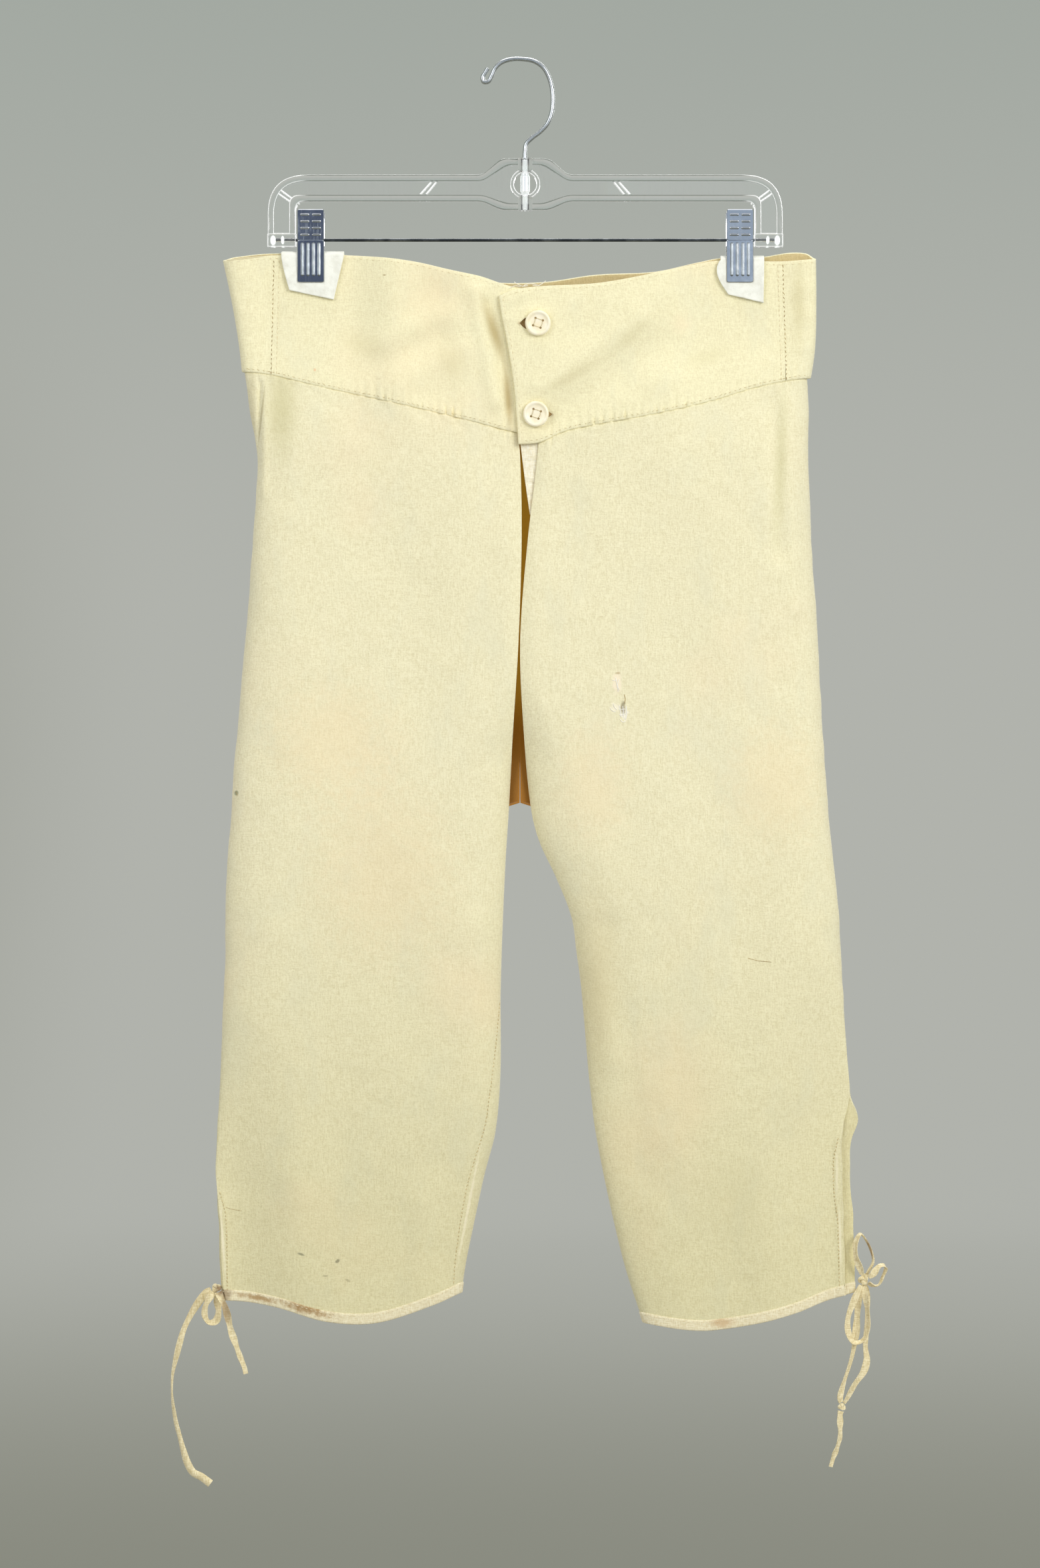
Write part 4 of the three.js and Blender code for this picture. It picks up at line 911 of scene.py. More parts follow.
cloth = {"leg": 1.4, "band": 2.4, "binding": 2.5, "facing": 1.0, "pad": 2.2}
form = {
    "middleX": flyMiddle, "seamGap": 0.04, "bindingHeight": 6.2, "lapDepth": 3.2, "slitSpread": 1.6,
    "tuckUp": 5.0, "tuckDepth": 2.15,  # how far a leg's top edge goes up and back behind the band
    "turnedEdge": 5.5, "turnedHeight": 0.7,  # the slits' turned edges
    # how far the slits' edges lie on each other
    "pressedFrom": 6, "pressedTo": 60, "pressedAbove": 120, "pressedBy": 0.94,
    "lapFrom": -42, "lapTo": -16, "lapLow": -345, "lapHigh": -262,  # where the flap pushes the cloth back
    "tuckFrom": -1.4, "tuckTo": 0.3,  # from the band's seam, where the tuck begins and is full
    "crotchBottom": -513.5, "crotchFoldStart": -425, "rollWidth": 7, "rollShare": 0.14,
    "outerShare": 0.28, "innerShare": 0.28,  # parts of a panel's columns on its side folds
}
# Where the clips pinch the band: flat close by, back to the free shape further off.
pinch = {"half": 1.6, "flatReach": 26, "fadeReach": 62, "flatAbove": -168, "fadeBelow": -275}
clips = {"right": -145.8, "left": 150.4}

# z, half the depth between front and back, how widely the side folds round off
bodyDepth = [
    (-130, 8, 18), (-180, 10, 20), (-220, 12, 24), (-300, 15, 32), (-450, 17, 38), (-600, 16, 40),
    (-750, 13, 38), (-880, 10, 34),
]
# z, side edge of the front, side edge of the back, fly edge or inner edge of the front
legRight = [
    (-205, -193, -193, -5), (-240, -188.4, -188.4, -4.6), (-275, -183, -183, -1.6),
    (-330, -186, -186, -0.6), (-400, -191.2, -191.2, -2.7), (-460, -196.7, -196.7, -6.2),
    (-513, -200.6, -200.6, -8.8), (-560, -204, -204, -11.7), (-640, -206, -206, -14.7),
    (-700, -208.6, -208.6, -14.9), (-740, -210.6, -210.6, -18.3), (-769, -211.8, -211.8, -25.7),
    (-800, -209.8, -210.4, -32.4), (-835, -208, -208.8, -39.4), (-872, -203.6, -204.4, -44),
]
legLeft = [
    (-205, 196, 196, 13.4), (-240, 198, 198, 13), (-275, 198, 198, 10.8), (-330, 200, 200, 4.4),
    (-400, 204.5, 204.5, -0.9), (-460, 207.6, 207.6, 1.1), (-513, 211.4, 211.4, 5.6),
    (-538, 213.6, 213.6, 11.4), (-565, 216.4, 216.4, 23.8), (-592, 219.4, 219.4, 34.2),
    (-616, 220.4, 220.4, 37.6), (-640, 221.6, 221.6, 40.8), (-700, 225.7, 225.7, 46),
    (-716, 226.6, 227.4, 47.8), (-731, 223.6, 233, 49.4), (-746, 221.5, 228.2, 51.8),
    (-769, 221.6, 227, 56.2), (-800, 222.4, 229.2, 62.9), (-835, 223.4, 230.4, 71.6),
    (-872, 224.4, 231.1, 83.7),
]
# x, z along the band's lower edge and upper edge, and along the hems
frontSeamRight = [
    (-193, -214.3), (-172, -217.1), (-138, -225.4), (-77, -239.1), (-33, -249.7), (-4, -256.8), (28, -260),
]
frontSeamLeft = [
    (-4, -265.4), (12, -263.9), (29, -256.5), (47, -252.4), (97, -243.2), (131, -235), (161, -225.8),
    (182, -221.2), (199, -218.7),
]
backSeam = [(-195, -214.3), (-100, -219), (0, -222), (100, -221), (199, -218.7)]
frontTopRight = [
    (-207, -138.7), (-171, -135), (-121, -135), (-77, -139.6), (-48, -146), (-27, -150.6), (-5, -157.5),
    (28, -160),
]
frontTopLeft = [
    (-16, -163.9), (-6, -159.8), (9, -157.5), (51, -155), (83, -149.7), (121, -141), (136, -138.7),
    (181, -139.2), (203, -137.8),
]
backTop = [
    (-207, -138.7), (-199, -135.6), (-171, -133.4), (-121, -134.6), (-77, -141.4), (-27, -152),
    (12, -152.6), (51, -147.4), (91, -145.4), (122, -139.6), (136, -136.8), (166, -135.8), (185, -132.9),
    (197, -133.4), (203, -137.8),
]
# z, side edges right and left, side seams right and left, the flap's free edge
bandSides = [
    (-134, -207.6, 203.2, -171, 179.7, -16.2), (-167, -200.6, 203.5, -171.8, 180.6, -14.9),
    (-199, -195.4, 202.6, -172.5, 181.6, -9), (-229, -192.6, 198.4, -173, 182.2, -4.6),
    (-266, -190, 196, -173.4, 182.8, -1.8),
]
bandColumn = {"right": 1, "left": 2, "seamRight": 3, "seamLeft": 4, "flap": 5}
hemRight = [
    (-210, -855.6), (-188, -857.2), (-167, -860.9), (-134, -870), (-100, -870.6), (-60, -858.1),
    (-43, -850.8),
]
hemLeft = [(83, -871.2), (112, -875.5), (130, -876), (160, -871.6), (190, -864), (211, -856), (232, -850.2)]
# z, inner and outer edge of the linen facing
facingEdges = [(-259, -1.2, 16.6), (-265.6, -0.8, 16), (-285, 1.5, 12.6), (-302, 3.8, 9.6), (-314, 5.6, 7.6)]
facingSink = 1.8

# Soft folds and creases, each along a line: x0, z0, x1, z1, width, height forward.
frontFolds = [
    (14, -226, 78, -178, 10, 2.6), (22, -247, 98, -193, 11, -3.0), (96, -206, 160, -190, 12, -1.6),
    (104, -224, 168, -206, 9, 1.0), (60, -168, 110, -160, 9, 1.0), (-32, -160, -18, -236, 6.5, 3.0),
    (-62, -166, -66, -226, 17, -2.3), (-24, -168, -9, -240, 4.5, -2.4), (-50, -176, -96, -196, 9, 1.5),
    (-40, -200, -84, -224, 8, 1.3), (-58, -190, -104, -212, 8, -1.5), (183, -150, 202, -149, 1.7, -0.7),
    (183, -159, 202, -157, 1.9, 0.6), (183, -168, 201, -167, 1.7, -0.8), (183, -177, 202, -176, 1.9, 0.65),
    (184, -188, 201, -186, 1.7, -0.75), (183, -199, 200, -199, 2.2, 0.6),
    (-196, -150, -174, -154, 2.2, 0.6), (-196, -160, -174, -163, 2, -0.6),
    (-194, -174, -174, -175, 2.6, 0.6), (-192, -190, -174, -188, 2.2, -0.6),
    (-191, -202, -174, -203, 2.2, 0.6), (-9, -168, 4, -162, 3.2, 0.8), (-9, -173, 7, -165.5, 3, -0.7),
    (-6, -180, 2, -171, 3, 0.5), (22, -176, 40, -164, 5, 0.5), (24, -194, 50, -186, 6, -0.6),
    (4, -205, 20, -198, 6, 0.5), (44, -590, 62, -690, 9, 1.5), (60, -600, 84, -770, 13, -2.0),
    (104, -640, 122, -800, 24, 0.8), (-180.6, -223, -182, -280, 1.6, -3.4),
    (-177, -225, -178.2, -300, 2.6, 1.8), (-190, -219, -183, -224, 1.4, 0.7),
    (-190, -224, -184, -228, 1.4, -0.7), (-189, -229, -184, -232, 1.6, 0.6),
    (-166, -228, -170, -300, 9, -1.4), (173, -236, 178, -340, 7, -2.2), (182, -236, 188, -380, 6, 1.4),
    (-30, -600, -34, -720, 12, 1.2), (-46, -620, -58, -760, 14, -1.3), (-150, -420, -168, -600, 26, 0.8),
    (168, -340, 178, -470, 20, -0.9), (-104, -280, -96, -420, 30, -0.7), (-70, -790, -66, -850, 10, 0.9),
    (-120, -800, -134, -856, 12, -0.8), (150, -790, 146, -862, 13, -0.8), (112, -830, 104, -868, 10, 0.8),
    (190, -800, 196, -846, 9, 0.7), (-15.6, -652, -22.5, -714.6, 1.5, -0.7),
    (-22.5, -714.6, -27, -740.7, 1.5, -0.8), (-27, -740.7, -37.6, -775.5, 1.5, -0.8),
    (-37.6, -775.5, -46.3, -830.1, 1.5, -0.8), (-46.3, -830.1, -47.2, -846, 1.5, -0.8),
]
backFolds = [
    (-16, -226, -34, -330, 9, 2.7), (14, -226, 30, -350, 10, 2.8), (-48, -224, -66, -310, 10, -2.1),
    (52, -224, 64, -300, 10, -2), (-2, -240, -2, -480, 7, -1.7), (-120, -240, -136, -420, 22, 1.5),
    (126, -240, 142, -440, 22, -1.5), (-110, -520, -128, -700, 24, -1.7), (118, -520, 132, -720, 22, 1.5),
    (-90, -170, -40, -196, 14, 1.5), (60, -190, 120, -168, 15, -1.4), (-150, -800, -144, -860, 11, 1.4),
    (150, -780, 158, -850, 12, -1.2), (-60, -560, -70, -640, 13, 1.5), (66, -600, 78, -700, 12, -1.5),
]
longWaves = {
    "front": {"seed": 11, "waves": 14, "shortest": 42, "longest": 210, "spread": 0.55, "height": 1.1},
    "back": {"seed": 12, "waves": 14, "shortest": 42, "longest": 210, "spread": 0.6, "height": 1.3},
}
shortWaves = {"seed": 21, "waves": 26, "shortest": 9, "longest": 34, "spread": 1.4, "height": 0.16}
outlineWaves = {"seed": 31, "waves": 9, "shortest": 16, "longest": 90, "spread": 0.0, "height": 0.36}
pucker = {"reach": 9, "height": 1.05, "length": 5.6, "uneven": 0.5}  # the gathers that stitches draw up


def looseness(x, z):
    # 0 where a clip pinches the cloth, 1 well away from both
    grips = [1 - smoothstep(np.abs(x - at), pinch["flatReach"], pinch["fadeReach"]) for at in clips.values()]
    return 1 - np.maximum(*grips) * smoothstep(z, pinch["fadeBelow"], pinch["flatAbove"])


def seamPucker(x, away):
    # little gathers along a seam, away from it by a distance
    wave = np.sin(x * 2 * pi / pucker["length"] + 1.7 * np.sin(x / 11.0) + np.sin(x / 3.7))
    size = 1 - pucker["uneven"] + pucker["uneven"] * np.sin(x / 17.0 + 1.3) ** 2
    return pucker["height"] * wave * size * np.exp(-(away / pucker["reach"]) ** 2)


def flatDepth(layer, x, z):
    # distance of a layer from the middle plane where nothing rounds it off
    folds = frontFolds if layer == "front" else backFolds
    free = read(bodyDepth, z, 1) + lineHeight(folds, x, z) + ripple(x, z, longWaves[layer])
    free = free + ripple(x, z, shortWaves)
    if layer == "front":
        seam = np.where(x < 0, read(frontSeamRight, x), read(frontSeamLeft, x))
    else:
        seam = read(backSeam, x)
    free = free + seamPucker(x, z - seam) * smoothstep(np.abs(x - 5), 8, 16)
    return lerp(pinch["half"], free, looseness(x, z))


def lapRecess(x, z):
    across = smoothstep(x, form["lapFrom"], form["lapTo"])
    return form["lapDepth"] * across * smoothstep(z, form["lapLow"], form["lapHigh"])


def tuck(aboveSeam):
    return form["tuckDepth"] * smoothstep(aboveSeam, form["tuckFrom"], form["tuckTo"])


def roundOff(fromEdge, width):
    share = np.clip(1 - fromEdge / width, 0, 1)
    return np.sqrt(1 - share * share)


layerSide = {"front": -1, "back": 1}
legs = {
    "right": {"outward": -1, "edges": legRight, "hem": hemRight, "seam": frontSeamRight, "slitTop": -769,
              "seed": 3},
    "left": {"outward": 1, "edges": legLeft, "hem": hemLeft, "seam": frontSeamLeft, "slitTop": -716,
             "seed": 4},
}
edgeColumn = {"front": 1, "back": 2}


def legPlace(side, layer, u, z):
    # a place in the middle of a leg's cloth, u running from the side seam to the inner edge
    leg = legs[side]
    outward, half = leg["outward"], cloth["leg"] / 2
    wide = read(bodyDepth, z, 2)
    opened = smoothstep(z, form["crotchBottom"], form["crotchFoldStart"])
    turn = lerp(1, form["rollShare"], opened) if layer == "front" else 1 - opened
    below = z <= form["crotchBottom"]
    power = np.where(below, 1, 2 - smoothstep(turn, 0.6, 1)) if layer == "front" else np.where(below, 1, 2)
    innerRound = lerp(form["rollWidth"], wide, turn)
    edgeX = read(leg["edges"], z, edgeColumn[layer])
    topSeam = leg["seam"] if layer == "front" else backSeam
    waver = ripple(z, 0 * z, {**outlineWaves, "seed": outlineWaves["seed"] + leg["seed"]})
    tucked = tuck(z - read(topSeam, edgeX))
    outer = edgeX - outward * (half + tucked) + waver
    inner = read(leg["edges"], z, 3) + outward * half * turn
    if layer == "back":
        inner = np.where(below, inner, form["middleX"] + outward * (form["seamGap"] / 2 + half * turn))
    u = np.asarray(u, float)
    middle = (u - form["outerShare"]) / (1 - form["outerShare"] - form["innerShare"])
    x = lerp(outer - outward * wide, inner + outward * innerRound, middle)
    foldIn = np.ones(np.broadcast(u, z).shape)
    angle = u / form["outerShare"] * pi / 2
    onSide = u < form["outerShare"]
    x = np.where(onSide, outer - outward * wide * (1 - np.cos(angle)), x)
    foldIn = np.where(onSide, np.sin(angle), foldIn)
    angle = (1 - u) / form["innerShare"] * pi / 2
    onInner = u > 1 - form["innerShare"]
    x = np.where(onInner, inner + outward * innerRound * (1 - np.cos(angle)), x)
    folded = 1 - turn * (1 - np.clip(np.sin(angle), 0, 1) ** power)
    foldIn = np.where(onInner, folded, foldIn)
    slitShare = smoothstep(leg["slitTop"] - z, 0, 30)
    pressShare = smoothstep(leg["slitTop"] - z, -form["pressedAbove"], 14)
    pressed = pressShare * (1 - smoothstep(np.abs(x - outer), form["pressedFrom"], form["pressedTo"]))
    foldIn = foldIn * (1 - form["pressedBy"] * pressed)
    slit = form["slitSpread"] * slitShare * (1 - u) ** 6
    fromEdge = np.abs(x - outer)
    onEdge = 1 - smoothstep(fromEdge, form["turnedEdge"] - 1, form["turnedEdge"])
    turned = form["turnedHeight"] * slitShare * onEdge
    recess = tuck(z - read(topSeam, x))
    if layer == "front" and side == "right":
        recess = recess + lapRecess(x, z)
    full = flatDepth(layer, x, z) - recess - form["seamGap"] / 2
    y = layerSide[layer] * (full * foldIn + form["seamGap"] / 2 + slit + turned)
    return np.stack([x, y, z + 0 * x], axis=-1)


legRange = {"top": -215, "bottom": -857, "levelFrom": -305, "levelTo": -790}


def panelPlace(side, layer, u, v):
    # a place on a leg panel, v running from behind the band down to the hem's binding
    leg = legs[side]
    level = lerp(legRange["top"], legRange["bottom"], v)
    nearTop = np.clip((level - legRange["levelFrom"]) / (legRange["top"] - legRange["levelFrom"]), 0, 1)
    nearHem = np.clip((level - legRange["levelTo"]) / (legRange["bottom"] - legRange["levelTo"]), 0, 1)
    topSeam = leg["seam"] if layer == "front" else backSeam
    place = legPlace(side, layer, u, level)
    for _ in range(5):
        x = place[..., 0]
        top = read(topSeam, x) + form["tuckUp"]
        bottom = read(leg["hem"], x) + form["bindingHeight"] - 0.5
        z = level + (top - legRange["top"]) * nearTop + (bottom - legRange["bottom"]) * nearHem
        place = legPlace(side, layer, u, z)
    return place


def bindingPlace(side, layer, u, v):
    leg = legs[side]
    place = legPlace(side, layer, u, legRange["bottom"] + 0 * u)
    for _ in range(5):
        hemEdge = read(leg["hem"], place[..., 0])
        place = legPlace(side, layer, u, hemEdge + form["bindingHeight"] * (1 - v))
    return place


panel = {
    "columns": 92, "rows": 300, "bindingRows": 6, "foldColumns": 26, "topRows": 18, "topDeep": 9,
    "flat": (0.225, 0.66), "area": 0.1230,  # the cut of one panel, seam allowances included
    "bindingFlat": (0.010, 0.185),  # what shows of the tape that is folded over the raw edge
}
# Rows stop short of the crotch's lower edge on both sides, so that it stays crisp.
crotchLevels = [(z - legRange["top"]) / (legRange["bottom"] - legRange["top"]) for z in (-512.4, -514.6)]
topShare = panel["topDeep"] / (legRange["top"] - legRange["bottom"])
upperRows = round(panel["rows"] * crotchLevels[0])
panelLevels = np.concatenate([
    even(panel["topRows"], 0, topShare)[:-1], even(upperRows - panel["topRows"], topShare, crotchLevels[0]),
    even(panel["rows"] - upperRows, crotchLevels[1], 1),
])
panelColumns = np.concatenate([
    even(panel["foldColumns"], 0, form["outerShare"])[:-1],
    even(panel["columns"] - 2 * panel["foldColumns"], form["outerShare"], 1 - form["innerShare"])[:-1],
    even(panel["foldColumns"], 1 - form["innerShare"], 1),
])
clothPieces = {}
for side in legs:
    for layer in ("front", "back"):
        piece = sheetMesh(
            f"leg_{layer}_{side}_cloth", lambda u, v: panelPlace(side, layer, u, v), panelColumns,
            panelLevels, cloth["leg"], [flannel, flannelInside], (0, layerSide[layer], 0),
            bulge=(0, 0.6, 0, 0))
        for face in piece.data.polygons:
            # the crotch seam's edge takes the inside's painted glow too
            x, _, z = face.center / mm
            if layer == "back" and abs(x - form["middleX"]) < 12 and -516 < z < -420 and face.normal.y < 0.3:
                face.material_index = 1
        clothPieces[f"leg_{layer}_{side}"] = settle(piece, "flannel", f"leg_{layer}_{side}")
        tape = sheetMesh(
            f"hem_binding_{side}_{layer}_tape", lambda u, v: bindingPlace(side, layer, u, v), panelColumns,
            even(panel["bindingRows"]), cloth["binding"], [bindingTape], (0, layerSide[layer], 0),
            bulge=(0, 0, 0.7, 0.7), sharp=70)
        clothPieces[f"hem_{side}_{layer}"] = settle(tape, "tape", f"hem_binding_{side}_{layer}")
print("legs made")


# Waistband, facing and buttons.

def bandLine(column, shift):
    return lambda z: read(bandSides, z, bandColumn[column]) + shift


rightEdge, leftEdge = bandLine("right", cloth["band"] / 2), bandLine("left", -cloth["band"] / 2)


def bandPlace(layer, x, z, recess):
    wide = read(bodyDepth, z, 2)
    right, left = rightEdge(z), leftEdge(z)
    fold = roundOff(x - right, wide) * roundOff(left - x, wide)
    return np.stack([x, layerSide[layer] * (flatDepth(layer, x, z) - recess) * fold, z], axis=-1)


def bandPiece(fromX, toX, topEdge, bottomEdge, recessAt):
    # the front band between two upright lines, v running down it
    def place(u, v):
        z = lerp(-150, -235, v)
        for _ in range(6):
            x = lerp(fromX(z), toX(z), u)
            z = lerp(read(topEdge, x), read(bottomEdge, x), v)
        return bandPlace("front", x, z, recessAt(x, z))
    return place


band = {
    "underlapEnd": 27.5, "wrapShare": 0.13, "wrapReach": 34, "frontColumns": 110, "backColumns": 250,
    "rows": 40,
    "wrapColumns": 34, "foldColumns": 24,
    "frontRightFlat": (0.205, 0.125), "frontLeftFlat": (0.201, 0.125), "backFlat": (0.46, 0.09),
}


def backBand(u, v):
    # round each side fold from its side seam in front, u from the right seam to the left
    share, reach = band["wrapShare"], band["wrapReach"]
    rightHand = u < 0.5
    inward = np.where(rightHand, 1, -1)
    fromSeam = np.minimum(u, 1 - u)
    inFront = fromSeam < share
    seamRight = bandLine("seamRight", -form["seamGap"] / 2)
    seamLeft = bandLine("seamLeft", form["seamGap"] / 2)
    z = lerp(-138, -216, v)
    for _ in range(6):
        right, left = rightEdge(z), leftEdge(z)
        side = np.where(rightHand, right, left)
        seam = np.where(rightHand, seamRight(z), seamLeft(z))
        frontX = lerp(side, seam, 1 - np.cos(np.clip(1 - fromSeam / share, 0, 1) * pi / 2))
        foldX = side + inward * reach * (1 - np.cos(np.clip(fromSeam / share - 1, 0, 1) * pi / 2))
        flatX = lerp(right + reach, left - reach, (u - 2 * share) / (1 - 4 * share))
        x = np.where(inFront, frontX, np.where(fromSeam < 2 * share, foldX, flatX))
        frontTop = np.where(rightHand, read(frontTopRight, x), read(frontTopLeft, x))
        frontLow = np.where(rightHand, read(frontSeamRight, x), read(frontSeamLeft, x))
        top = np.where(inFront, frontTop, read(backTop, x))
        low = np.where(inFront, frontLow, read(backSeam, x))
        z = lerp(top, low, v)
    front, back = bandPlace("front", x, z, 0), bandPlace("back", x, z, 0)
    return np.where(inFront[..., None], front, back)


bandRows = even(band["rows"])
bandMaterials = [bandFlannel, bandInside]
frontRight = bandPiece(bandLine("seamRight", form["seamGap"] / 2), lambda z: band["underlapEnd"] + 0 * z,
                       frontTopRight, frontSeamRight, lapRecess)
frontLeft = bandPiece(bandLine("flap", 0), bandLine("seamLeft", -form["seamGap"] / 2),
                      frontTopLeft, frontSeamLeft, lambda x, z: 0)
share, wrap, fold = band["wrapShare"], band["wrapColumns"], band["foldColumns"]
backColumns = np.concatenate([
    even(wrap, 0, share)[:-1], even(fold, share, 2 * share)[:-1],
    even(band["backColumns"] - 2 * (wrap + fold), 2 * share, 1 - 2 * share)[:-1],
    even(fold, 1 - 2 * share, 1 - share)[:-1], even(wrap, 1 - share, 1),
])
frontColumns = even(band["frontColumns"])
bandRight = sheetMesh("waistband_front_right_cloth", frontRight, frontColumns, bandRows, cloth["band"],
                      bandMaterials, (0, -1, 0), bulge=(0, 0.5, 0.6, 0.6))
bandLeft = sheetMesh("waistband_front_left_cloth", frontLeft, frontColumns, bandRows, cloth["band"],
                     bandMaterials, (0, -1, 0), bulge=(0.6, 0, 0.6, 0.6))
bandBack = sheetMesh("waistband_back_cloth", backBand, backColumns, bandRows, cloth["band"],
                     bandMaterials, (0, 1, 0), bulge=(0, 0, 0.6, 0.6))

# The buttonholes: rounded slots through the flap, a little open.
buttonForm = {
    "radius": 8.9, "thick": 3.2, "rim": 1.9, "dish": 0.95, "holeRadius": 0.8, "holeSpread": 3.75,
    "sides": 72, "holeSides": 20, "gap": 0.3, "slotHalf": 0.75,
}
buttons = {
    "button_upper": {"x": 11, "z": -182.3, "tilt": -18, "slotFrom": -1.8, "slotTo": 13.4, "mouth": [
        (-1.8, 0.2), (0, 1.9), (2.4, 4.0), (5, 3.4), (8, 1.3), (13.4, 0.3)]},
    "button_lower": {"x": 9.6, "z": -245.1, "tilt": -18, "slotFrom": 5, "slotTo": 20.6, "mouth": [
        (5, 0.3), (13, 1.2), (16, 2.6), (18.4, 1.9), (20, 0.7), (20.6, 0.2)]},
}


def slotBody(b, near, far, material):
    # the buttonhole's outline between two depths, or through the cloth
    steps = 16
    xs = [lerp(b["slotFrom"], b["slotTo"], k / steps) for k in range(steps + 1)]
    halves = [float(np.interp(x, *zip(*b["mouth"]))) for x in xs]
    outline = [(x, b["z"] - half) for x, half in zip(xs, halves)]
    outline += [(x, b["z"] + half) for x, half in reversed(list(zip(xs, halves)))]
    return prismMesh("slot", [(x, y, z) for y in (near, far) for x, z in outline], material)


soiled = []
for b in buttons.values():
    boolean(bandLeft, slotBody(b, -60, -2, brownThread), "DIFFERENCE")
    bandLeft.data.set_sharp_from_angle(angle=radians(50))
    under = -float(flatDepth("front", b["x"] - 8, b["z"])) + cloth["band"] / 2
    soiled.append(slotBody(b, under - 0.9, under - 0.2, soilAndShadeCloth))
settle(joined("buttonhole_soil", soiled), "flannel")
clothPieces["band_right"] = settle(bandRight, "flannel", "waistband_front_right")
clothPieces["band_left"] = settle(bandLeft, "flannel", "waistband_front_left")
clothPieces["band_back"] = settle(bandBack, "flannel", "waistband_back")

# x0, z0, x1, z1, width, height of the facing's creases
facingCreases = [
    (-1, -276.6, 14, -278, 0.9, -0.45), (-1, -288, 12, -289.5, 1.0, 0.35), (0, -292, 12, -293, 0.9, -0.4),
    (1, -300.6, 10, -301.6, 0.9, -0.35), (4, -266, 8, -274, 1.1, 0.35), (11, -262, 10, -300, 1.2, 0.25),
]


def facingPlace(u, v):
    z = lerp(facingEdges[0][0], facingEdges[-1][0], v)
    x = lerp(read(facingEdges, z, 1), read(facingEdges, z, 2), u)
    y = -flatDepth("front", x, z) * (1 - form["rollShare"]) + facingSink - lineHeight(facingCreases, x, z)
    return np.stack([x, y, z], axis=-1)


facing = sheetMesh("fly_facing_linen", facingPlace, even(28), even(90), cloth["facing"], [linen], (0, -1, 0),
                   bulge=(0.5, 0.5, 0, 0.5))
settle(facing, "linen", "fly_facing")


def buttonHoles(b):
    # the middles of the four holes
    spread = buttonForm["holeSpread"]
    angles = [radians(b["tilt"] + 45 + 90 * k) for k in range(4)]
    return [(b["x"] + spread * cos(a), b["z"] + spread * sin(a)) for a in angles]


def buttonMesh(name, b):
    # a dished four-hole button with a raised rim, resting on the flap
    f = buttonForm
    angles = np.linspace(0, 2 * pi, 25)
    reach = [flatDepth("front", b["x"] + r * np.cos(angles), b["z"] + r * np.sin(angles))
             for r in (0, 0.5 * f["radius"], f["radius"])]
    back = -(float(np.max(reach)) + cloth["band"] / 2 + f["gap"])
    r, t = f["radius"], f["thick"]
    inRim, dish = r - f["rim"], -t + f["dish"]
    profile = [
        (0, 0), (r - 1.5, 0), (r - 0.6, -0.25), (r - 0.12, -0.8), (r, -1.5), (r - 0.12, -2.2),
        (r - 0.5, -2.85), (r - 1.0, -t + 0.05), (r - 1.5, -t), (inRim, -t + 0.15), (inRim - 0.6, -t + 0.6),
        (inRim - 1.3, dish), (inRim - 2.6, dish + 0.1), (1.2, dish), (0, dish),
    ]
    piece = latheMesh(name, profile, f["sides"], (b["x"], back, b["z"]), buttonCream)
    for x, z in buttonHoles(b):
        bit = [(0, 1), (f["holeRadius"], 1), (f["holeRadius"], -5), (0, -5)]
        drill = latheMesh("drill", bit, f["holeSides"], (x, back, z), buttonCream)
        boolean(piece, drill, "DIFFERENCE")
    piece.data.set_sharp_from_angle(angle=radians(38))
    return piece, back


def threadAcross(name, b, back):
    # thread from hole to hole, sunk at its ends, over dark plugs that paint the shade in the holes
    f = buttonForm
    level = back - f["thick"] + f["dish"]
    holes = buttonHoles(b)
    parts = []
    # painted shade: a dark plug sunk in each hole stands for the shade inside it
    for x, z in holes:
        plug = [(0, level + 0.5), (f["holeRadius"] * 0.96, level + 0.5), (f["holeRadius"] * 0.96, back - 0.1),
                (0, back - 0.1)]
        parts.append(latheMesh("plug", plug, f["holeSides"], (x, 0, z), soilAndShadeCloth))
    for count, (a, c) in enumerate(((0, 1), (2, 3), (1, 2), (3, 0))):
        (x0, z0), (x1, z1) = holes[a], holes[c]
        lift = 0.3 + 0.08 * count
        rows = [(x0, level + 0.45, z0), (lerp(x0, x1, 0.1), level - lift * 0.6, lerp(z0, z1, 0.1)),
                (lerp(x0, x1, 0.5) + 0.3, level - lift, lerp(z0, z1, 0.5)),
                (lerp(x0, x1, 0.9), level - lift * 0.6, lerp(z0, z1, 0.9)), (x1, level + 0.45, z1)]
        parts.append(tubeMesh("strand", smoothRoute(rows, 5), 0.16, 6, seamThread, rounded=False))
    return joined(name, parts)


for name, b in buttons.items():
    piece, back = buttonMesh(name + "_disc", b)
    settle(piece, "button", name)
    settle(threadAcross(name + "_thread", b, back), "tape")
print("waistband, facing and buttons made")


# Hanger, hook, clips and pads.

hanger = {
    "centreX": 2.2, "halfLength": 177.8, "webHalf": 1.0, "rimHalf": 3.5, "rimWide": 4.2,
    "beamTop": -78.9, "beamBottom": -97, "humpTop": -67.6, "humpBottom": -102.9, "humpHalf": 16.5,
    "humpSlope": 13,
    "legWide": 19, "legBottom": -128.4, "corner": 27, "innerCorner": 7, "cornerSteps": 12, "edge": 0.42,
    "ringZ": -85, "ringOuter": 10.3, "ringInner": 7.8, "sleeveHalf": 5, "sleeveDeep": 9,
    "ribs": [((58, -79.6), (71.8, -96.4)), ((61.2, -79.6), (76.2, -96.4)), ((169, -89.2), (156, -98.8)),
             ((170.6, -91.6), (157.4, -100.6))],
    "ribHalf": 0.45, "bore": 2.9,
}
hook = {"wire": 1.55, "bore": 1.95, "shaftX": 2.06, "shaftBottom": -99.5, "sides": 20, "steps": 7}
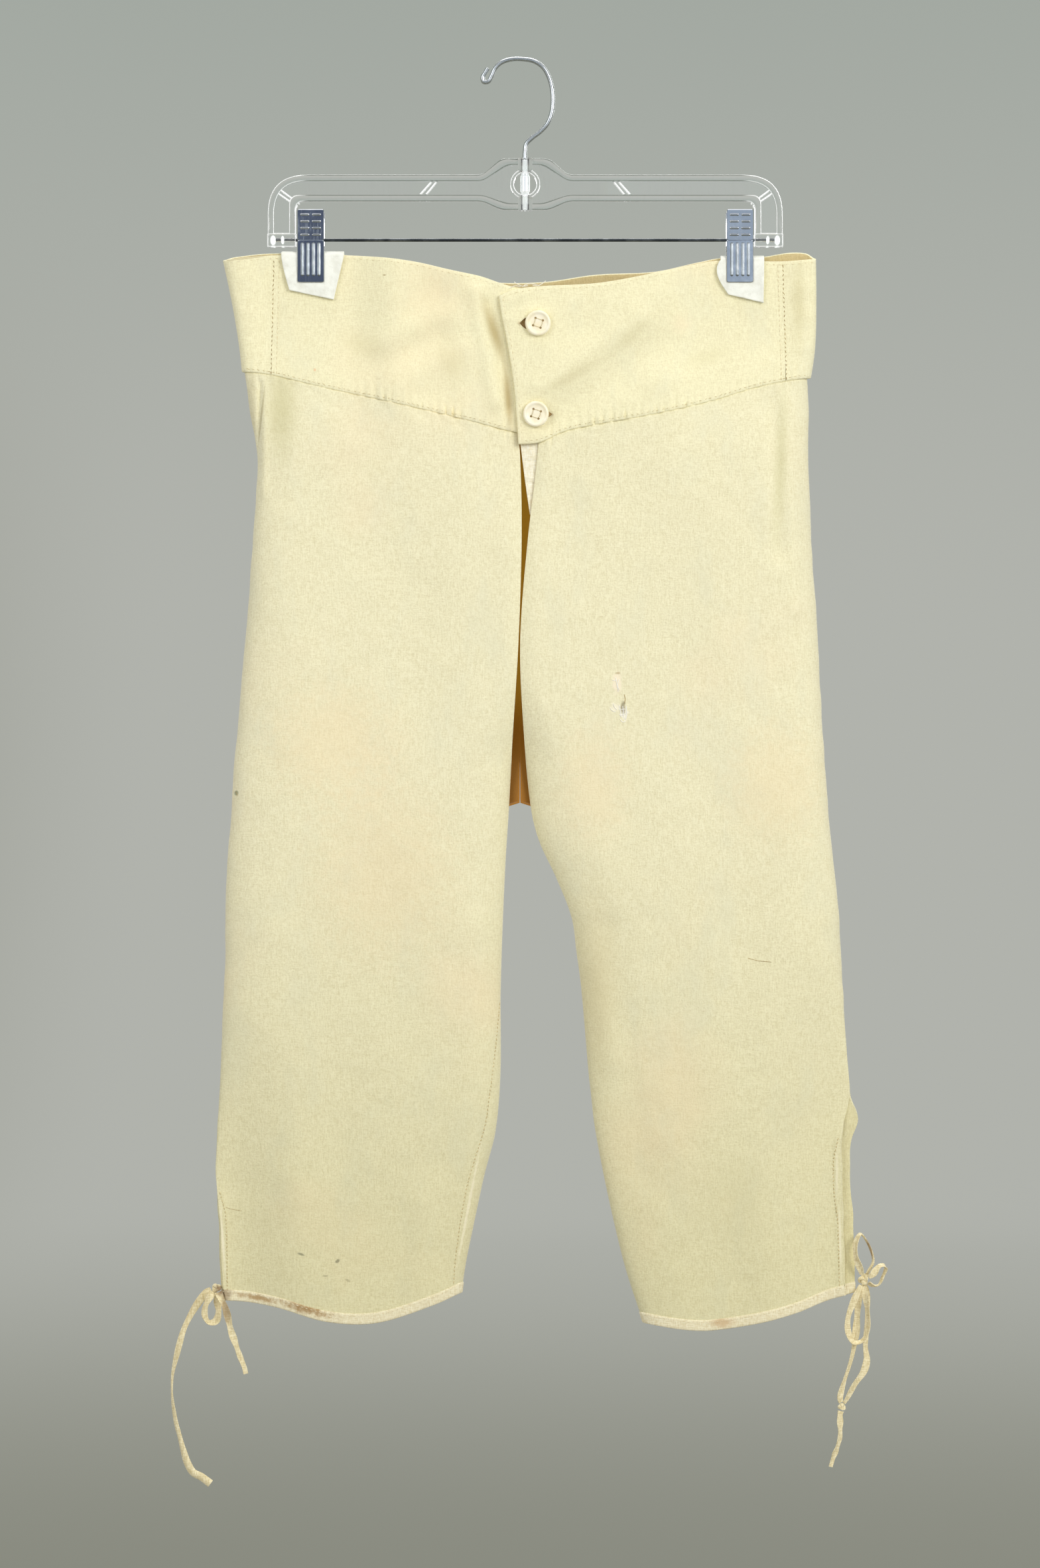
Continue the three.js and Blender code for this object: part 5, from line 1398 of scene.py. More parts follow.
# a plated sleeve through the hump, thicker where it crosses the ring
ferrule = {
    "outer": 3.3, "inner": 2.65, "top": -79.6, "bottom": -90.4, "round": 0.4, "high": -68.4, "low": -102.2,
}
rod = {"radius": 1.1, "z": -123.7, "fromX": -171, "toX": 175.4, "socket": 1.4}


def roundedOutline(corners, steps):
    # points round an outline; each corner has x, z and the reach of its rounding
    made = []
    for i, (x, z, reach) in enumerate(corners):
        here = Vector((x, z))
        start = here + (Vector(corners[i - 1][:2]) - here).normalized() * reach
        end = here + (Vector(corners[(i + 1) % len(corners)][:2]) - here).normalized() * reach
        for k in range(steps + 1):
            t = k / steps
            made.append(start * (1 - t) ** 2 + here * 2 * t * (1 - t) + end * t * t)
    return made


def hangerOutline(inset):
    h = hanger
    legInner = h["halfLength"] - h["legWide"] + inset
    shoulder = h["humpHalf"] + h["humpSlope"]
    half = [
        (h["humpHalf"] - inset, h["humpTop"] - inset, 4), (shoulder, h["beamTop"] - inset, 4),
        (h["halfLength"] - inset, h["beamTop"] - inset, h["corner"] - inset),
        (h["halfLength"] - inset, h["legBottom"] + inset, 1.4), (legInner, h["legBottom"] + inset, 1.4),
        (legInner, h["beamBottom"] + inset, h["innerCorner"]), (shoulder, h["beamBottom"] + inset, 4),
        (h["humpHalf"] - inset, h["humpBottom"] + inset, 4),
    ]
    mirrored = [(-x, z, reach) for x, z, reach in reversed(half)]
    return roundedOutline([(x + h["centreX"], z, reach) for x, z, reach in half + mirrored], h["cornerSteps"])


def stackMesh(name, loops, materials, bright=(), sharp=30):
    # a closed body through outlines of equal length, with flat ends; a loop is (points in X and Z, y),
    # and the bright ones of the walls between two loops have the second material, for painted highlights
    size = len(loops[0][0])
    points = [(p[0], y, p[1]) for outline, y in loops for p in outline]
    faces = [tuple(reversed(range(size)))] + ringFaces(len(loops), size)
    slots = [0] + [int(j in bright) for j in range(len(loops) - 1) for _ in range(size)]
    faces.append(tuple((len(loops) - 1) * size + k for k in range(size)))
    slots.append(0)
    return newMesh(name, points, turnOutwards(points, faces), materials, slots, sharp=sharp)


def slab(name, corners, near, far, edge, materials, bright=()):
    # a plate between two depths with bevelled edges; corners are (x, z, reach)
    x0, z0 = (sum(c[k] for c in corners) / len(corners) for k in (0, 1))
    full = roundedOutline(corners, 4)
    small = [(p[0] - copysign(edge, p[0] - x0), p[1] - copysign(edge, p[1] - z0)) for p in full]
    return stackMesh(name, [(small, near), (full, near + edge), (full, far - edge), (small, far)],
                     materials, bright)


def boxCorners(x0, x1, z0, z1, reach):
    return [(x0, z0, reach), (x1, z0, reach), (x1, z1, reach), (x0, z1, reach)]


def hangerMesh():
    h = hanger
    r, w, e = h["rimHalf"], h["rimWide"], h["edge"]
    # the edge plastic paints light and dark lines on rounded rims, the ring, ribs and socket blocks
    plastic = [clearPlastic, edgePlastic]
    rim = [(w + 0.4, h["webHalf"]), (w + 0.05, h["webHalf"] + 0.35), (w, r - e), (w - e * 0.3, r - e * 0.3),
           (w - e, r), (e, r), (e * 0.3, r - e * 0.3), (0, r - e)]
    loops = [(hangerOutline(inset), y) for inset, y in rim]
    loops += [(hangerOutline(inset), -y) for inset, y in reversed(rim)]
    body = stackMesh("hanger_body_clear", loops, plastic, bright=(2, 3, 5, 6, 8, 9, 11, 12))
    middle = (h["centreX"], 0, h["ringZ"])
    hole = latheMesh("hole", [(0, -9), (9, -9), (9, 9), (0, 9)], 64, middle, clearPlastic)
    boolean(body, hole, "DIFFERENCE")
    o, i, d = h["ringOuter"], h["ringInner"], h["rimHalf"] - 0.05
    ring = [(i, -d + 0.5), (i + 0.5, -d), (o - 0.5, -d), (o, -d + 0.5), (o, d - 0.5), (o - 0.5, d),
            (i + 0.5, d), (i, d - 0.5), (i, -d + 0.5)]
    collar = latheMesh("ring", ring, 64, middle, clearPlastic)
    # the ring's slanted faces take the edge plastic's painted lines
    collar.data.materials.append(edgePlastic)
    for face in collar.data.polygons:
        if 0.1 < abs(face.normal.y) < 0.9:
            face.material_index = 1
    boolean(body, collar, "UNION")
    deep = h["sleeveDeep"] / 2
    x0, x1 = h["centreX"] - h["sleeveHalf"], h["centreX"] + h["sleeveHalf"]
    for z0, z1 in ((h["ringZ"] + 9, h["humpTop"] + 0.4), (h["humpBottom"] - 0.4, h["ringZ"] - 9)):
        boolean(body, slab("sleeve", boxCorners(x0, x1, z0, z1, 1.0), -deep, deep, 0.6, plastic), "UNION")
    for side in (1, -1):
        # the block at the foot of each arm, where the rod's end sits
        x0, x1 = sorted(h["centreX"] + side * x
                        for x in (h["halfLength"] - h["legWide"] - 0.4, h["halfLength"] + 0.4))
        corners = boxCorners(x0, x1, h["legBottom"] - 0.3, rod["z"] + 4.6, 1.2)
        # its bevels take the edge plastic's painted lines
        boolean(body, slab("socket", corners, -r - 0.3, r + 0.3, 0.7, plastic, bright=(0, 2)), "UNION")
        for (x0, z0), (x1, z1) in h["ribs"]:
            along = Vector((x1 - x0, z1 - z0)).normalized()
            across = Vector((-along[1], along[0])) * h["ribHalf"]
            corners = [Vector((x0, z0)) + across, Vector((x1, z1)) + across, Vector((x1, z1)) - across,
                       Vector((x0, z0)) - across]
            outline = [(h["centreX"] + side * c[0], c[1]) for c in corners]
            rib = stackMesh("rib", [(outline, -3.2), (outline, -2.9), (outline, 2.9), (outline, 3.2)],
                            plastic, (0, 2))
            # each rib is painted bright all over with the edge plastic
            rib.data.polygons.foreach_set("material_index", [1] * len(rib.data.polygons))
            boolean(body, rib, "UNION")
    bottom, top = h["humpBottom"] - 5, h["humpTop"] + 5
    bore = [(0, bottom), (h["bore"], bottom), (h["bore"], top), (0, top)]
    boolean(body, latheMesh("bore", bore, 28, (hook["shaftX"], 0, 0), clearPlastic, "Z"), "DIFFERENCE")
    socket = [(0, rod["fromX"] - 0.6), (rod["socket"], rod["fromX"] - 0.6), (rod["socket"], rod["toX"] + 0.6),
              (0, rod["toX"] + 0.6)]
    boolean(body, latheMesh("socket", socket, 24, (0, 0, rod["z"]), clearPlastic, "X"), "DIFFERENCE")
    body.data.set_sharp_from_angle(angle=radians(32))
    return body


settle(hangerMesh(), "clear_plastic", "hanger_body")
hookRoute = smoothRoute([
    (hook["shaftX"], 0, hook["shaftBottom"]), (hook["shaftX"], 0, -80), (hook["shaftX"], 0, -62),
    (3, 0, -57), (6.9, 0, -53), (12.4, 0, -48.8), (17.4, 0, -43.3), (20.4, 0, -35.8), (21.3, 0, -27),
    (20.6, 0, -18.2), (18.3, 0, -10.4), (14.4, 0, -4), (8.2, 0, 0.1), (0, 0, 1.55), (-8, 0, 1.3),
    (-14.4, 0, -0.9), (-18.6, 0, -4.8), (-21.2, 0, -10.4), (-23.4, 0, -14), (-26.4, 0, -14.2),
    (-27.2, 0, -11.2), (-25, 0, -7), (-23.6, 0, -4.6),
], hook["steps"])
settle(tubeMesh("hanger_hook_wire", hookRoute, hook["wire"], hook["sides"], wireChrome), "chrome",
       "hanger_hook")
f, bore = ferrule, hook["bore"]
thin, wide, low, high = f["inner"], f["outer"], f["low"], f["high"]
collar = [
    (bore, low + 0.3), (bore + 0.3, low), (thin - 0.3, low), (thin, low + 0.3), (thin, f["bottom"] - 0.5),
    (wide - f["round"], f["bottom"]), (wide, f["bottom"] + f["round"]), (wide, f["top"] - f["round"]),
    (wide - f["round"], f["top"]), (thin, f["top"] + 0.5), (thin, high - 0.3), (thin - 0.3, high),
    (bore + 0.3, high), (bore, high - 0.3), (bore, low + 0.3),
]
settle(latheMesh("hanger_ferrule_collar", collar, 40, (hook["shaftX"], 0, 0), sleeveChrome, "Z"), "chrome",
       "hanger_ferrule")
rodRoute = [(lerp(rod["fromX"], rod["toX"], k / 12), 0, rod["z"]) for k in range(13)]
settle(tubeMesh("hanger_rod_bar", rodRoute, rod["radius"], 20, steel), "chrome", "hanger_rod")


class Shapes(Graph):
    # a geometry node tree with named inputs
    def __init__(self, name, inputs):
        tree = bpy.data.node_groups.new(name, "GeometryNodeTree")
        super().__init__(tree)
        tree.interface.new_socket("Path", in_out="INPUT", socket_type="NodeSocketGeometry")
        for title, (kind, value) in inputs.items():
            made = tree.interface.new_socket(title, in_out="INPUT", socket_type=kind)
            if value is not None:
                made.default_value = value
        tree.interface.new_socket("Made", in_out="OUTPUT", socket_type="NodeSocketGeometry")
        self.inlet = tree.nodes.new("NodeGroupInput")

    def given(self, title):
        return Wire(self, self.inlet.outputs[title])

    def vector(self, x, y, z):
        return self.node("ShaderNodeCombineXYZ", {}, {0: x, 1: y, 2: z})

    def done(self, shape):
        # instances made real, finished and smooth
        real = self.node("GeometryNodeRealizeInstances", {}, {0: shape})
        soft = self.node("GeometryNodeSetShadeSmooth", {}, {0: real})
        values = {"Geometry": soft, "Material": self.given("Finish")}
        finished = self.node("GeometryNodeSetMaterial", {}, values)
        self.node("NodeGroupOutput", {}, {0: finished})
        return self.tree


def grow(name, tree, points, edges, values):
    # runs a tree on points or lines in millimetres and keeps the result as a plain mesh
    mesh = bpy.data.meshes.new(name)
    mesh.from_pydata([tuple(Vector(p) * mm) for p in points], edges, [])
    piece = bpy.data.objects.new(name, mesh)
    bpy.context.scene.collection.objects.link(piece)
    modifier = piece.modifiers.new("grown", "NODES")
    modifier.node_group = tree
    for item in tree.interface.items_tree:
        if item.in_out == "INPUT" and item.name in values:
            modifier[item.identifier] = values[item.name]
    return applied(piece)


def ribTree():
    # a round-ended bar, half sunk in the plate, at every point
    s = Shapes("pressed ribs", {
        "Length": ("NodeSocketFloat", 0.02), "Radius": ("NodeSocketFloat", 0.0008),
        "Turn": ("NodeSocketFloat", 0.0), "Finish": ("NodeSocketMaterial", None),
    })
    half = s.given("Length") * 0.5 - s.given("Radius")
    line = s.node("GeometryNodeCurvePrimitiveLine", {}, {
        "Start": s.vector(half * -1.0, 0.0, 0.0), "End": s.vector(half, 0.0, 0.0)})
    circle = s.node("GeometryNodeCurvePrimitiveCircle", {}, {"Resolution": 18, "Radius": s.given("Radius")})
    bar = s.node("GeometryNodeCurveToMesh", {}, {0: line, 1: circle})
    ball = s.node("GeometryNodeMeshUVSphere", {}, {"Segments": 18, "Rings": 8, "Radius": s.given("Radius")})
    ends = s.node("GeometryNodeInstanceOnPoints", {}, {"Points": line, "Instance": ball})
    whole = s.node("GeometryNodeJoinGeometry", {}, {0: bar})
    s.tree.links.new(ends.socket, whole.socket.node.inputs[0])
    turned = s.node("FunctionNodeEulerToRotation", {}, {0: s.vector(0.0, s.given("Turn"), 0.0)})
    bars = s.node("GeometryNodeInstanceOnPoints", {}, {
        "Points": s.given("Path"), "Instance": whole, "Rotation": turned})
    return s.done(bars)


def stitchTree():
    # a short strand laid along a line at even steps, each a little different
    s = Shapes("hand stitches", {
        "Spacing": ("NodeSocketFloat", 0.004), "Length": ("NodeSocketFloat", 0.0022),
        "Radius": ("NodeSocketFloat", 0.0003), "Flat": ("NodeSocketFloat", 0.6),
        "Wander": ("NodeSocketFloat", 0.15), "Turn": ("NodeSocketFloat", 0.0),
        "Seed": ("NodeSocketInt", 1), "Finish": ("NodeSocketMaterial", None),
    })
    curve = s.node("GeometryNodeMeshToCurve", {}, {0: s.given("Path")})
    stepped = s.node("GeometryNodeResampleCurve", {"mode": "LENGTH"}, {
        "Curve": curve, "Length": s.given("Spacing")})
    strand = s.node("GeometryNodeMeshUVSphere", {}, {"Segments": 6, "Rings": 5, "Radius": 1.0})
    tangent = s.node("GeometryNodeInputTangent", {}, {})
    along = s.node("FunctionNodeAlignRotationToVector", {"axis": "X"}, {"Vector": tangent})
    wander = s.node("FunctionNodeRandomValue", {"data_type": "FLOAT"}, {
        2: s.given("Wander") * -1.0, 3: s.given("Wander"), "Seed": s.given("Seed")}, 1)
    yaw = s.node("FunctionNodeEulerToRotation", {}, {0: s.vector(0.0, wander + s.given("Turn"), 0.0)})
    turned = s.node("FunctionNodeRotateRotation", {"rotation_space": "LOCAL"}, {0: along, 1: yaw})
    stretch = s.node("FunctionNodeRandomValue", {"data_type": "FLOAT"}, {
        2: 0.72, 3: 1.22, "Seed": s.given("Seed") + 7.0}, 1)
    size = s.vector(s.given("Length") * stretch * 0.5, s.given("Radius") * s.given("Flat"), s.given("Radius"))
    laid = s.node("GeometryNodeInstanceOnPoints", {}, {
        "Points": stepped, "Instance": strand, "Rotation": turned, "Scale": size})
    return s.done(laid)


ribs = ribTree()
stitches = stitchTree()

clip = {
    "wide": 18.4, "thick": 1.0, "top": -103.4, "bottom": -153.4, "face": 5.6, "corner": 1.2, "edge": 0.28,
    "earThick": 1.0, "earBottom": -127.8, "earTop": -112, "earReach": 2.6, "earHole": 1.35,
    "shortRows": (-107, -111.6, -116.2, -120.8), "shortAt": (-4, 4), "shortLength": 6.4, "ribRadius": 0.85,
    "longAt": (-5.7, -1.9, 1.9, 5.7), "longTop": -126, "longBottom": -149.4, "longRadius": 1.15,
    "flareFrom": -124.5, "flare": 1.8,  # the finger plates lean apart above the rod
    "springRadius": 2.5, "springWire": 0.45, "springTurns": 5, "springHalf": 5.2,
}


def clipJaw(name, x, side, earX):
    c = clip
    outside = c["face"] + c["thick"]
    near, far = sorted((side * c["face"], side * outside))
    half = c["wide"] / 2
    parts = []
    for z0, z1 in ((c["bottom"], c["flareFrom"]), (c["flareFrom"], c["top"])):
        corners = boxCorners(x - half, x + half, z0, z1, c["corner"])
        parts.append(slab("plate", corners, near, far, c["edge"], [brightChrome]))
    for earSide in (1, -1):
        centre = x + earSide * earX
        y0, y1 = sorted((-side * c["earReach"], side * (c["face"] + c["thick"] / 2)))
        outline = roundedOutline([(y0, c["earBottom"], 2.2), (y1, c["earBottom"], 0.4),
                                  (y1, c["earTop"], 0.4), (y0, c["earTop"], 2.2)], 5)
        points = [(centre + s * c["earThick"] / 2, p[0], p[1]) for s in (-1, 1) for p in outline]
        ear = prismMesh("ear", points, brightChrome)
        bit = [(0, -2), (c["earHole"], -2), (c["earHole"], 2), (0, 2)]
        drill = latheMesh("drill", bit, 24, (centre, 0, rod["z"]), brightChrome, "X")
        parts.append(boolean(ear, drill, "DIFFERENCE"))
    shortPlaces = [(x + dx, side * outside, z) for z in c["shortRows"] for dx in c["shortAt"]]
    parts.append(grow("short_ribs", ribs, shortPlaces, [], {
        "Length": c["shortLength"] * mm, "Radius": c["ribRadius"] * mm, "Turn": 0.0, "Finish": brightChrome}))
    middle = (c["longTop"] + c["longBottom"]) / 2
    longPlaces = [(x + dx, side * outside, middle) for dx in c["longAt"]]
    parts.append(grow("long_ribs", ribs, longPlaces, [], {
        "Length": (c["longTop"] - c["longBottom"]) * mm, "Radius": c["longRadius"] * mm, "Turn": pi / 2,
        "Finish": ribSteel}))
    jaw = joined(name, parts, sharp=25)
    for v in jaw.data.vertices:
        rise = max(0.0, v.co.z / mm - c["flareFrom"]) / (c["top"] - c["flareFrom"])
        v.co.y += side * c["flare"] * mm * rise if v.co.y * side > c["face"] * mm * 0.9 else 0.0
    return jaw


def springMesh(name, x):
    c = clip
    steps = c["springTurns"] * 20
    route = []
    for k in range(steps + 1):
        turn = 2 * pi * c["springTurns"] * k / steps
        route.append(Vector((x - c["springHalf"] + 2 * c["springHalf"] * k / steps,
                             c["springRadius"] * sin(turn), rod["z"] + c["springRadius"] * cos(turn))))
    return tubeMesh(name, route, c["springWire"], 8, brightChrome)


for side, x in clips.items():
    earX = clip["wide"] / 2 - clip["earThick"] / 2
    settle(clipJaw(f"clip_{side}_front_jaw", x, -1, earX), "chrome", f"clip_{side}_front")
    settle(clipJaw(f"clip_{side}_back_jaw", x, 1, earX - clip["earThick"] - 0.4), "chrome",
           f"clip_{side}_back")
    settle(springMesh(f"clip_{side}_spring", x), "chrome")

pads = {
    "right": {
        "top": -134.9, "topFrom": -166, "topTo": -123.3, "lowFrom": -160.5, "lowTo": -130.2,
        "lowZFrom": -158.4, "lowZTo": -164.8, "seed": 5, "bulge": -0.6,
    },
    "left": {
        "top": -137.9, "topFrom": 137.4, "topTo": 166.9, "lowFrom": 142.5, "lowTo": 166.5,
        "lowZFrom": -161.5, "lowZTo": -167, "seed": 6, "bulge": -4.5,
    },
}
padForm = {
    "arcShare": 0.3, "columns": 44, "rows": 130, "lobes": 3, "dentRound": 2.2, "lump": 0.5,
    "fill": 0.25, "foldRise": 0.55,
}


def padPlace(side, u, v):
    # folded over the band's top, pressed flat under the clip and puffed out round it
    pad = pads[side]
    bend = pinch["half"] + cloth["band"] / 2 + 0.35 + cloth["pad"] / 2
    drop = (1 - padForm["arcShare"]) / 2
    lowZ = lerp(pad["lowZFrom"], pad["lowZTo"], u)
    down = np.clip(1 - np.minimum(v, 1 - v) / drop, 0, 1)
    angle = np.clip((v - drop) / padForm["arcShare"], 0, 1) * pi
    x = lerp(lerp(pad["topFrom"], pad["topTo"], u), lerp(pad["lowFrom"], pad["lowTo"], u), down)
    x = x + pad["bulge"] * (1 - u) * np.sin(pi * down ** 0.8)
    z = lerp(pad["top"], lowZ, down) + bend * padForm["foldRise"] * np.sin(angle)
    waves = {"seed": pad["seed"], "waves": 12, "shortest": 7, "longest": 30, "spread": 1.2,
             "height": padForm["lump"]}
    under = (1 - smoothstep(np.abs(x - clips[side]), 8.4, 8.4 + padForm["dentRound"])) \
        * smoothstep(z, -154 - padForm["dentRound"], -153.6)
    puff = (ripple(x, z, waves) + 0.35) * (1 - under) - 0.1 * under
    puff = puff * np.clip(down * 6, 0, 1)
    y = -(bend + np.maximum(puff, -0.25)) * np.cos(angle)
    return np.stack([x, y, z], axis=-1)


for side in pads:
    pad = sheetMesh(f"pad_{side}_cotton", lambda u, v: padPlace(side, u, v), even(padForm["columns"]),
                    even(padForm["rows"]), cloth["pad"], [padding], (0, 0, 1), bulge=(0.5, 0.5, 0.7, 0.7),
                    lobes=padForm["lobes"], sharp=80)
    settle(pad, "padding", f"pad_{side}")
print("hanger made")


# Stitches and loose threads, laid on the cloth as it is met from the front (-1) or the back (1).

def clothTree(pieces):
    points, faces = [], []
    for piece in pieces:
        first = len(points)
        points += [v.co / mm for v in piece.data.vertices]
        faces += [[first + k for k in polygon.vertices] for polygon in piece.data.polygons]
    return BVHTree.FromPolygons(points, faces)


clothHit = clothTree(clothPieces.values())


rayStart = 200


def pinned(side, places, lift=0.1):
    # places on the cloth's outside, lifted by a little
    made = []
    for x, z in places:
        hit, normal, _, _ = clothHit.ray_cast(Vector((x, side * rayStart, z)), Vector((0, -side, 0)))
        if hit:
            made.append(hit + normal * copysign(lift, normal.y * side))
    return made


def steps(start, end, step=1.6):
    return np.linspace(start, end, max(2, round(abs(end - start) / step)))


def edgeLine(table, fromX, toX, shift):
    return [(x, float(read(table, x)) + shift) for x in steps(fromX, toX)]


def uprightLine(column, fromZ, toZ, shift):
    return [(float(read(bandSides, z, column)) + shift, z) for z in steps(fromZ, toZ)]


def drawn(*places):
    return [(p.x, p.z) for p in smoothRoute([(x, 0, z) for x, z in places], 12)]


def slotLine(b, away):
    # round a buttonhole
    made = []
    middle, half = (b["slotFrom"] + b["slotTo"]) / 2, (b["slotTo"] - b["slotFrom"]) / 2
    tall = buttonForm["slotHalf"] + away
    for k in range(61):
        turn = 2 * pi * k / 60
        made.append((middle + (half + away) * cos(turn), b["z"] + tall * sin(turn)))
    return made


# The stitches of a seam: the side that they are seen from, their spacing, length and radius, the thread,
# the lines that they follow, how much each wanders and how it is turned.
Seam = namedtuple("Seam", "side spacing length radius thread lines wander turn", defaults=(0.16, 0.0))
hemLines = [edgeLine(hemRight, -206, -46, 5.2), edgeLine(hemLeft, 86, 228, 5.2)]


def sideSeams(shiftRight, shiftLeft):
    right, left = bandColumn["seamRight"], bandColumn["seamLeft"]
    return [uprightLine(right, -139, -216, shiftRight), uprightLine(left, -142, -220, shiftLeft)]


seams = {
    "band seam front": Seam(-1, 3.6, 2.2, 0.17, seamThread, [
        edgeLine(frontSeamRight, -189, -12, 1.5), edgeLine(frontSeamLeft, 3, 195, 1.5),
    ], wander=0.5),
    "band side seams": Seam(-1, 3.1, 2.0, 0.24, brownThread, sideSeams(-0.3, 0.3), wander=0.6),
    "band side fells": Seam(-1, 3.4, 2.2, 0.22, creamThread, sideSeams(3.4, -3.2), wander=0.3),
    "band top front": Seam(-1, 4.4, 1.7, 0.2, creamThread, [
        edgeLine(frontTopRight, -200, -16, -1.7), edgeLine(frontTopLeft, -12, 200, -1.7),
    ]),
    "flap edge": Seam(-1, 4.6, 1.9, 0.2, creamThread, [uprightLine(bandColumn["flap"], -166, -262, 2.0)]),
    "slits front": Seam(-1, 2.6, 2.0, 0.32, seamThread, [
        drawn((-208.6, -782.9), (-205, -796.7), (-204, -815.9), (-203.6, -849)),
        drawn((218.2, -745.3), (215.3, -760), (215.5, -781), (217.8, -799.8), (219.2, -846)),
    ], wander=0.5),
    "inseam": Seam(-1, 2.7, 2.0, 0.34, seamThread, [
        drawn((-15.6, -651.8), (-18.8, -686.1), (-22.5, -714.6), (-25.2, -733.8), (-27, -740.7),
              (-37.6, -775.5), (-42.6, -802.1), (-46.3, -830.1), (-47.2, -843.9)),
    ], wander=0.5),
    "bindings front": Seam(-1, 3.3, 1.9, 0.22, creamThread, hemLines),
    "band seam back": Seam(1, 3.9, 2.0, 0.2, brownThread, [edgeLine(backSeam, -186, 190, 1.5)]),
    "band top back": Seam(1, 4.4, 1.7, 0.2, creamThread, [edgeLine(backTop, -200, 198, -1.7)]),
    "centre back": Seam(1, 3.8, 2.0, 0.2, brownThread, [
        drawn((0.4, -228), (0.4, -330), (0.4, -430), (0.4, -508)),
        drawn((-3.2, -228), (-3.2, -330), (-3.2, -508)),
    ]),
    "slits back": Seam(1, 3.4, 1.9, 0.24, brownThread, [
        drawn((-207.4, -782.9), (-204.4, -796.7), (-203.6, -815.9), (-203.4, -849)),
        drawn((221.6, -745.3), (221.8, -781), (223.6, -799.8), (225, -846)),
    ], wander=0.3),
    "bindings back": Seam(1, 3.3, 1.9, 0.22, creamThread, hemLines),
    "buttonholes": Seam(-1, 0.62, 1.5, 0.24, creamThread, [slotLine(b, 1.0) for b in buttons.values()],
                        wander=0.2, turn=pi / 2),
}
for count, (name, seam) in enumerate(seams.items()):
    points, edges = [], []
    for line in seam.lines:
        laid = pinned(seam.side, line)
        edges += [(len(points) + k, len(points) + k + 1) for k in range(len(laid) - 1)]
        points += laid
    piece = grow(name.replace(" ", "_") + "_stitches", stitches, points, edges, {
        "Spacing": seam.spacing * mm, "Length": seam.length * mm, "Radius": seam.radius * mm,
        "Wander": seam.wander, "Turn": seam.turn, "Seed": count, "Finish": seam.thread,
    })
    settle(piece, "tape")

# radius, thread and places along each loose or darned thread, all on the front
threads = [
    (0.16, brownThread, [(155.4, -619.7), (162, -621.4), (171.5, -622.4)]),
    (0.1, brownThread, [(-206.8, -791.6), (-200, -793.8), (-193.5, -794.8)]),
    (0.3, whiteThread, [(66.8, -445.6), (67.6, -449.5), (68.0, -453.8)]),
    (0.3, whiteThread, [(69.2, -446), (69.6, -450.2), (69.7, -454)]),
    (0.26, whiteThread, [(66.4, -448.3), (69, -448.6), (71.2, -448)]),
    (0.26, whiteThread, [(66.6, -451.9), (69, -452.2), (71.2, -451.4)]),
    (0.3, whiteThread, [(62.6, -444.6), (63.6, -446.8), (65, -448.6)]),
    (0.32, whiteThread, [(71.4, -445.6), (71.9, -450.4), (71, -455.6)]),
    (0.3, whiteThread, [(67.4, -455.2), (69.4, -457.2), (71.2, -456.4)]),
    (0.28, whiteThread, [(60.4, -447.2), (62.2, -449.4), (64.4, -450.4)]),
    (0.3, whiteThread, [(64.4, -426.6), (65.2, -431), (66.2, -436.4)]),
    (0.26, whiteThread, [(66.6, -427.6), (65.8, -432), (67, -435.4)]),
    (0.22, brownThread, [(70.3, -438.2), (70.9, -441.6), (70.5, -444.4)]),
    (0.24, whiteThread, [(61.8, -428.2), (63.6, -428.7), (65.3, -428.4)]),
    (0.16, brownThread, [(-197.6, -505.2), (-196.8, -506.2), (-196.2, -507.9)]),
]
strands = []
for radius, thread, places in threads:
    route = smoothRoute(pinned(-1, [p for p in drawn(*places)][::4], 0.08), 2)
    strands.append(tubeMesh("thread", route, radius, 6, thread))
# frayed ends that stand on the band's top edge beside the flap
depth = -float(flatDepth("front", 5, -157))
frays = [
    [(-5.5, 1.2, -153.4), (-2, 0.4, -155.6), (0.5, -0.4, -156.6), (4, -0.6, -156.2)],
    [(7.3, 0.2, -156), (11, 0.9, -156), (14, 1.4, -154.4), (16.5, 1.6, -152.6)],
    [(0.5, 0.4, -156.6), (4, 0.9, -154.8), (8, 0.4, -155), (12, 0, -156.2)],
    [(-9, 1.6, -158), (-5, 1.0, -156.2), (-1, 0.6, -156.8)],
]
for fray in frays:
    route = smoothRoute([(x, depth + y, z) for x, y, z in fray], 6)
    strands.append(tubeMesh("thread", route, 0.27, 6, whiteThread))
settle(joined("loose_threads", strands), "tape")

for side in legs:
    for layer in ("front", "back"):
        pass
for side in pads:
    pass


# The studio: a pale sweep, cards for the metal, lights and air.

studio = {
    "floor": -1290, "radius": 5200, "cove": 1800, "wall": 8000, "sides": 96,
    # how bright the sweep looks: on the floor, at mid height, high up and at the far left; the darker ones
    # are painted shade
    "near": (126, 128, 114), "far": (180, 182, 175), "high": (160, 168, 160), "aside": (146, 148, 136),
}


